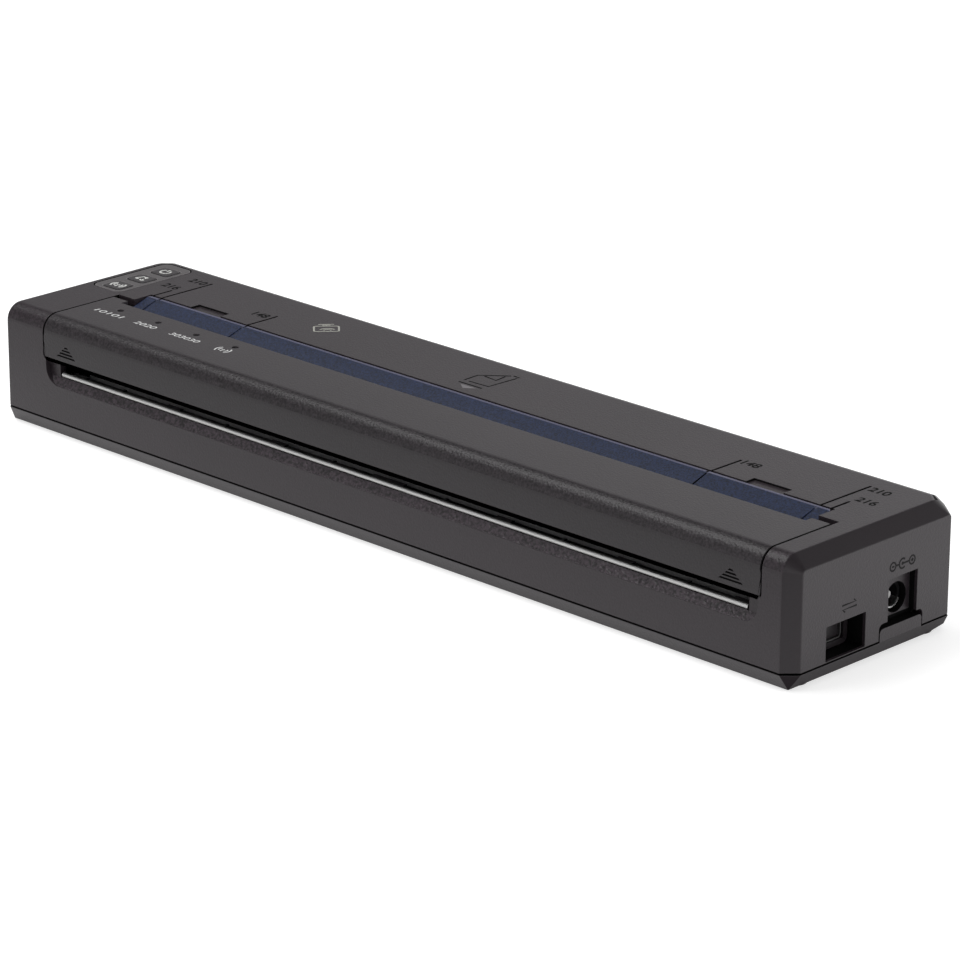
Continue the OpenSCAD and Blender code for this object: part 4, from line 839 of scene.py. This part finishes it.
class PRINTER_OT_ports(bpy.types.Operator):
    """Model the data socket with its tongue and frame, and the contact in the power jack"""
    bl_idname = "printer.ports"
    bl_label = "Ports"

    def execute(self, context):
        low, high = (114.2, -13.75, 6.01), (122.9, -6.05, 9.91)
        shell = round_box("data_shell", low, high, 0.95, 0.3, 7.0, "port_steel")
        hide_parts("usb_socket")
        settle(shell, "base")
        low, high = (115.8, PORT_Y - 2.9, 8.2), (121.9, PORT_Y + 2.9, 9.0)
        tongue = round_box("data_tongue", low, high, 0.3, 0.15, 0.1, "black_plastic")
        settle(tongue, "base")
        low, high = (122.2, PORT_Y - 5.4, 4.7), (123.4, PORT_Y + 5.4, 11.3)
        rim = round_box("port_frame", low, high, 1.6, 1.25, 1.1, "port_plastic")
        settle(rim, "base")
        deselect_all()
        bpy.ops.mesh.primitive_cylinder_add(
            vertices=40, radius=0.0026, depth=0.005, end_fill_type="NOTHING",
            location=(0.1217, JACK_Y * MM, JACK_Z * MM), rotation=(0, math.radians(90), 0))
        leaf = context.view_layer.objects.active
        leaf.name = "jack_contact"
        only(leaf)
        bpy.ops.object.transform_apply(location=True, rotation=True, scale=True)
        bpy.ops.object.mode_set(mode="EDIT")
        bpy.ops.mesh.select_all(action="SELECT")
        bpy.ops.mesh.bisect(plane_co=(0, (JACK_Y + 0.5) * MM, (JACK_Z - 1.6) * MM),
                            plane_no=(0, 0.3, -0.95), clear_inner=True)
        leave_edit_mode()
        skin = leaf.modifiers.new("thickness", "SOLIDIFY")
        skin.thickness = 0.0003
        skin.offset = 0.0
        bpy.ops.object.modifier_apply(modifier=skin.name)
        bpy.ops.object.shade_smooth_by_angle(angle=SMOOTH_ANGLE)
        paint(leaf, "bright_steel")
        settle(leaf, "base")
        return {"FINISHED"}


class PRINTER_OT_ramp(bpy.types.Operator):
    """Model the blue paper ramp with a painted highlight on its land and painted shade in its
    guide grooves
    """
    bl_idname = "printer.ramp"
    bl_label = "Paper ramp"

    def edges(self, p, a, b):
        """Rounds the edge between the flat land and the slope widely."""
        at_land = p.z > 29.5 and min(a.y, b.y) < -0.2
        return 2.6 if at_land and max(a.z, b.z) > 0.95 and min(a.z, b.z) > 0.1 else 0.3

    def execute(self, context):
        ramp = merged_copy("paper_ramp", "blue_ramp")
        paint(ramp, "ramp_plastic", "ramp_land", "mark_groove")
        soften(ramp, context.scene.printer_finish.edge_width, self.edges, segments=4)
        for x in GUIDE_LINES_X:
            for side in (-GUIDE_HALF, GUIDE_HALF):
                split_faces(ramp, lambda p, n: p.y > 0.5 and n.z > 0.3, PATH_X + x + side)
        # The flat land gets a painted highlight, and the guide grooves get painted shade
        repaint(ramp, "ramp_land", lambda p, n: p.y > 0.5 and p.z > 28.9 and n.z > 0.3)
        repaint(ramp, "mark_groove",
                lambda p, n: close_to(p.x - PATH_X, GUIDE_LINES_X, GUIDE_HALF + 0.01))
        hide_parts("paper_ramp")
        settle(ramp, "base")
        return {"FINISHED"}


class PRINTER_OT_buttons(bpy.types.Operator):
    """Model the button panel, its three buttons and their pictograms"""
    bl_idname = "printer.buttons"
    bl_label = "Buttons"

    def execute(self, context):
        finish = context.scene.printer_finish
        panel = merged_copy("button_panel", "key_panel")
        paint(panel, "panel_plastic", "panel_rim")
        soften(panel, finish.edge_width, lambda p, a, b: 0.9 if p.z > NEAR_TOP_Z else 0.3,
               edge_finish="panel_rim")
        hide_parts("button_panel")
        settle(panel, "base")
        for node, body in (("power_button", "power_key"), ("feed_button", "feed_key"),
                           ("wireless_button", "wireless_key")):
            key = merged_copy(node, node.replace("_button", "_key_cap"))
            for corner in key.data.vertices:
                if corner.co.z > (BUTTON_TOP_Z - FACE_REACH) * MM:
                    corner.co.z -= MARK_ROOM * MM
            paint(key, "button_rubber")
            soften(key, finish.edge_width, lambda p, a, b: 1.0 if p.z > 30 else 0.3)
            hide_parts(node)
            settle(key, body)
        width = context.scene.printer_marks.line_width
        power = [arc(0, 0, 1.35, 125, 415, 18), [(0, 0.4), (0, 1.7)]]
        feed = [[(-1.5, -0.9), (-0.6, 1.2), (0.9, 1.2), (0.9, 0.4), (-0.1, 1.2)],
                [(-1.5, -0.9), (-0.3, -0.9)], [(0.9, -0.2), (0.9, -1.4), (0.2, -0.8)],
                [(0.9, -1.4), (1.6, -0.8)]]
        waves = wave_lines(1.7, 0.35, -1.3)
        signs = (("power_sign", "power_key", power), ("feed_sign", "feed_key", feed),
                 ("wireless_sign", "wireless_key", waves))
        for (name, body, lines), y in zip(signs, BUTTON_YS):
            sign = line_mark(name, lines, width * 1.6, "button_print")
            lay_on_top(sign, BUTTON_X, y, body, 0, BUTTON_PRINT_Z)
        return {"FINISHED"}


class PRINTER_OT_deck_marks(bpy.types.Operator):
    """Lay the paper width numbers and the pictograms on the deck"""
    bl_idname = "printer.deck_marks"
    bl_label = "Deck marks"

    def execute(self, context):
        marks = context.scene.printer_marks
        numbers = (("full", marks.full_number, 110.3, 16.6),
                   ("wide", marks.wide_number, 112.3, 9.8),
                   ("small", marks.small_number, 78.8, 10.5),
                   ("full_left", marks.full_number, -107.9, 16.7),
                   ("wide_left", marks.wide_number, -109.8, 9.5),
                   ("small_left", marks.small_number, -77.1, 9.1))
        # The numbers and the sheet sign are drawn in painted shade, standing in for engraving
        for name, number, x, y in numbers:
            mark = number_mark("sheet_number_" + name, str(number), marks.number_height,
                               "mark_groove", weight=0.00008)
            lay_on_top(mark, x, y, "base")
        sheet = [[(-4.2, 7.7), (3.2, 7.7)], [(-4.1, 9.4), (-4.3, 14.0), (1.6, 19.1)],
                 [(2.05, 19.5), (3.9, 19.45)], [(3.8, 18.7), (3.3, 9.75), (-2.7, 9.5)],
                 [(-2.6, 14.7), (1.4, 14.2), (0.95, 17.8)]]
        lay_on_top(line_mark("sheet_sign", sheet, marks.line_width * 1.5, "mark_groove"), 0, 0,
                   "base")
        arrow = [(-2.7, 6.7), (2.4, 6.8), (-0.1, 4.8)]
        lay_on_top(filled_mark("sheet_arrow", arrow, "head_edge"), 0, 0, "base")
        rim = arc(2.4, 1.5, 0.6, 0, 90, 4) + arc(-2.4, 1.5, 0.6, 90, 180, 4)
        rim += arc(-2.4, -1.5, 0.6, 180, 270, 4) + arc(2.4, -1.5, 0.6, 270, 360, 4)
        near = [rim + rim[:1], arc(0.2, -1.7, 1.1, 25, 155, 6), arc(0.2, -1.7, 2.0, 30, 150, 8),
                [(-1.9, 3.5), (1.9, 3.5)], [(-1.0, 2.85), (1.0, 2.85)]]
        lay_on_top(line_mark("near_sign", near, marks.line_width * 1.3, "pale_print"),
                   -54.9, 13.8, "base", 47.0)
        return {"FINISHED"}


class PRINTER_OT_cover_marks(bpy.types.Operator):
    """Print the pictograms beside the indicator windows"""
    bl_idname = "printer.cover_marks"
    bl_label = "Cover marks"

    def execute(self, context):
        width = context.scene.printer_marks.line_width
        waves = line_mark("lamp_sign_waves", wave_lines(1.8, 0.3, -1.1), width * 1.2,
                          "white_print")
        lay_on_top(waves, -60.2, -14.8, "cover")
        for name, number, start, end in (("power", "10101", -106.7, -97.0),
                                         ("data", "2020", -91.5, -84.2),
                                         ("status", "303030", -78.9, -68.9)):
            figure = number_mark("lamp_number_" + name, number, 1.75 * MM, "white_print",
                                 slant=0.1, weight=0.00001)
            figure.scale.x = (end - start) * MM / figure.dimensions.x
            lay_on_top(figure, start, -15.7, "cover")
        return {"FINISHED"}


class PRINTER_OT_port_marks(bpy.types.Operator):
    """Lay the raised signs above the two ports in the right end, darker than the case as painted
    shade
    """
    bl_idname = "printer.port_marks"
    bl_label = "Port marks"

    def execute(self, context):
        width = context.scene.printer_marks.line_width
        data = [[(-2.4, 0.5), (2.2, 0.5), (1.4, 1.1)],
                [(2.4, -0.5), (-2.2, -0.5), (-1.4, -1.1)]]
        poles = [arc(-3.2, 0, 0.95, 0, 360, 14), [(-3.6, 0), (-2.8, 0)],
                 [(-2.2, 0), (-1.1, 0)], arc(0, 0, 1.1, 50, 310, 12),
                 arc(0, 0, 0.2, 0, 360, 8), [(0.2, 0), (2.2, 0)],
                 arc(3.2, 0, 0.95, 0, 360, 14), [(2.8, 0), (3.6, 0)], [(3.2, -0.4), (3.2, 0.4)]]
        end = CASE_END_X - 0.015
        for name, lines, y, z in (("data_sign", data, -9.0, 15.15),
                                  ("pole_sign", poles, 8.3, 20.0)):
            sign = line_mark(name, lines, width * 1.2, "mark_relief")
            lay_on_end(sign, y, z, "base", end)
        return {"FINISHED"}


class PRINTER_OT_stage(bpy.types.Operator):
    """Set the floor, the lights, the room and the camera"""
    bl_idname = "printer.stage"
    bl_label = "Stage"

    def execute(self, context):
        settings = context.scene.printer_stage
        deselect_all()
        bpy.ops.mesh.primitive_plane_add(size=FLOOR_SIZE, location=(0, 0, 0))
        floor = context.view_layer.objects.active
        floor.name = "pale_floor"
        floor.data.materials.append(self.pale_material())
        self.light(settings.light_power)
        self.room(context, settings)
        self.camera(context, settings)
        context.scene.view_settings.view_transform = "Standard"
        return {"FINISHED"}

    def camera(self, context, settings):
        """The camera at its fitted place, with its roll about its line of sight."""
        data = bpy.data.cameras.new("photo_camera")
        data.lens = settings.lens
        data.sensor_width = 36.0
        data.clip_end = 20.0
        camera = bpy.data.objects.new("photo_camera", data)
        context.scene.collection.objects.link(camera)
        azimuth = math.radians(CAMERA_AZIMUTH)
        height = math.radians(CAMERA_HEIGHT)
        away = Vector((math.sin(azimuth) * math.cos(height),
                       -math.cos(azimuth) * math.cos(height), math.sin(height)))
        camera.location = Vector(CAMERA_TARGET) * MM + away * CAMERA_AWAY
        roll = Quaternion((0, 0, 1), settings.roll)
        camera.rotation_euler = ((-away).to_track_quat("-Z", "Y") @ roll).to_euler()
        context.scene.camera = camera

    def light(self, power):
        """The soft rectangular light that faces the printer."""
        data = bpy.data.lights.new("soft_light", "AREA")
        data.shape = "RECTANGLE"
        data.size, data.size_y = LIGHT_SIZE
        data.energy = power
        lamp = bpy.data.objects.new("soft_light", data)
        bpy.context.scene.collection.objects.link(lamp)
        lamp.location = Vector(LIGHT_DIRECTION).normalized() * LIGHT_AWAY
        lamp.rotation_euler = (-lamp.location).to_track_quat("-Z", "Y").to_euler()

    def ranged(self, tree, value, start, end, low, high):
        """A smooth step from low to high as the value goes from start to end."""
        node = tree.nodes.new("ShaderNodeMapRange")
        node.interpolation_type = "SMOOTHSTEP"
        for key, number in (("From Min", start), ("From Max", end),
                            ("To Min", low), ("To Max", high)):
            node.inputs[key].default_value = number
        tree.links.new(value, node.inputs["Value"])
        return node.outputs["Result"]

    def axes(self, tree, space):
        """The sockets X, Y and Z of a place in this space."""
        place = tree.nodes.new("ShaderNodeTexCoord")
        split = tree.nodes.new("ShaderNodeSeparateXYZ")
        tree.links.new(place.outputs[space], split.inputs["Vector"])
        return split.outputs

    def pale_material(self):
        """White as the camera sees it, and darker in front where the printer mirrors it."""
        material = bpy.data.materials.new("pale_floor")
        material.use_nodes = True
        tree = material.node_tree
        path = tree.nodes.new("ShaderNodeLightPath")
        shader = tree.nodes["Principled BSDF"]
        shader.inputs["Roughness"].default_value = 0.9
        shader.inputs["Specular IOR Level"].default_value = 0.0
        level = self.ranged(tree, self.axes(tree, "Object")["Y"], -0.15, 0.0, 0.22, 1.0)
        dark = math_node(tree, "MULTIPLY", path.outputs["Is Glossy Ray"],
                         math_node(tree, "SUBTRACT", 1.0, level))
        skin = tree.nodes.new("ShaderNodeMix")
        skin.data_type = "RGBA"
        skin.inputs["A"].default_value = (0.6, 0.6, 0.6, 1)
        skin.inputs["B"].default_value = (0.1, 0.1, 0.1, 1)
        tree.links.new(dark, skin.inputs["Factor"])
        tree.links.new(skin.outputs["Result"], shader.inputs["Base Color"])
        mirrored = math_node(tree, "ADD", path.outputs["Is Glossy Ray"],
                             path.outputs["Is Transmission Ray"], True)
        seen = math_node(tree, "ADD", path.outputs["Is Camera Ray"],
                         math_node(tree, "MULTIPLY", mirrored, level), True)
        shader.inputs["Emission Color"].default_value = (0.62, 0.62, 0.62, 1)
        tree.links.new(seen, shader.inputs["Emission Strength"])
        return material

    def room(self, context, settings):
        """Even light for the surfaces; they mirror a white horizon and a dark ceiling."""
        world = bpy.data.worlds.new("soft_room")
        world.use_nodes = True
        context.scene.world = world
        tree = world.node_tree
        axes = self.axes(tree, "Generated")
        path = tree.nodes.new("ShaderNodeLightPath")
        lit = tree.nodes["Background"]
        lit.inputs["Color"].default_value = (1, 1, 1, 1)
        level = self.ranged(tree, axes["Y"], -0.9, 0.3, 0.32, 1.0)
        tree.links.new(math_node(tree, "MULTIPLY", level, settings.world_level),
                       lit.inputs["Strength"])
        seen = tree.nodes.new("ShaderNodeBackground")
        seen.inputs["Color"].default_value = (1, 1, 1, 1)
        height = self.ranged(tree, axes["Z"], 0.15, 0.56, 1.0, settings.ceiling_level)
        side = self.ranged(tree, axes["X"], -0.85, -0.45, 0.4, 1.6)
        strength = math_node(tree, "MAXIMUM", path.outputs["Is Camera Ray"],
                             math_node(tree, "MULTIPLY", height, side))
        tree.links.new(strength, seen.inputs["Strength"])
        mirrored = math_node(tree, "ADD", path.outputs["Is Glossy Ray"],
                             path.outputs["Is Transmission Ray"], True)
        mix = tree.nodes.new("ShaderNodeMixShader")
        tree.links.new(math_node(tree, "ADD", path.outputs["Is Camera Ray"], mirrored, True),
                       mix.inputs["Fac"])
        tree.links.new(lit.outputs["Background"], mix.inputs[1])
        tree.links.new(seen.outputs["Background"], mix.inputs[2])
        tree.links.new(mix.outputs["Shader"], tree.nodes["World Output"].inputs["Surface"])


OPERATORS = (PRINTER_OT_finishes, PRINTER_OT_case, PRINTER_OT_cover, PRINTER_OT_exit_slot,
             PRINTER_OT_ports, PRINTER_OT_ramp, PRINTER_OT_buttons, PRINTER_OT_deck_marks,
             PRINTER_OT_cover_marks, PRINTER_OT_port_marks, PRINTER_OT_stage)


class PRINTER_PT_sidebar(bpy.types.Panel):
    """Lists the printer's settings and building steps"""
    bl_label = "Printer"
    bl_idname = "PRINTER_PT_sidebar"
    bl_space_type = "VIEW_3D"
    bl_region_type = "UI"
    bl_category = "Printer"

    def draw(self, context):
        column = self.layout.column()
        scene = context.scene
        for group in (scene.printer_finish, scene.printer_marks, scene.printer_stage):
            for key in group.__annotations__:
                column.prop(group, key)
        for operator in OPERATORS:
            column.operator(operator.bl_idname)


GROUPS = (("printer_finish", PrinterFinish), ("printer_marks", PrinterMarks),
          ("printer_stage", PrinterStage))


def register():
    for name, group in GROUPS:
        bpy.utils.register_class(group)
        setattr(bpy.types.Scene, name, bpy.props.PointerProperty(type=group))
    for operator in OPERATORS:
        bpy.utils.register_class(operator)
    bpy.utils.register_class(PRINTER_PT_sidebar)


def unregister():
    bpy.utils.unregister_class(PRINTER_PT_sidebar)
    for operator in reversed(OPERATORS):
        bpy.utils.unregister_class(operator)
    for name, group in reversed(GROUPS):
        delattr(bpy.types.Scene, name)
        bpy.utils.unregister_class(group)


def main():
    register()
    bpy.ops.printer.finishes()
    bpy.ops.printer.case()
    bpy.ops.printer.cover()
    bpy.ops.printer.exit_slot()
    bpy.ops.printer.ports()
    bpy.ops.printer.ramp()
    bpy.ops.printer.buttons()
    bpy.ops.printer.deck_marks()
    bpy.ops.printer.cover_marks()
    bpy.ops.printer.port_marks()
    bpy.ops.printer.stage()


if __name__ == "__main__":
    main()
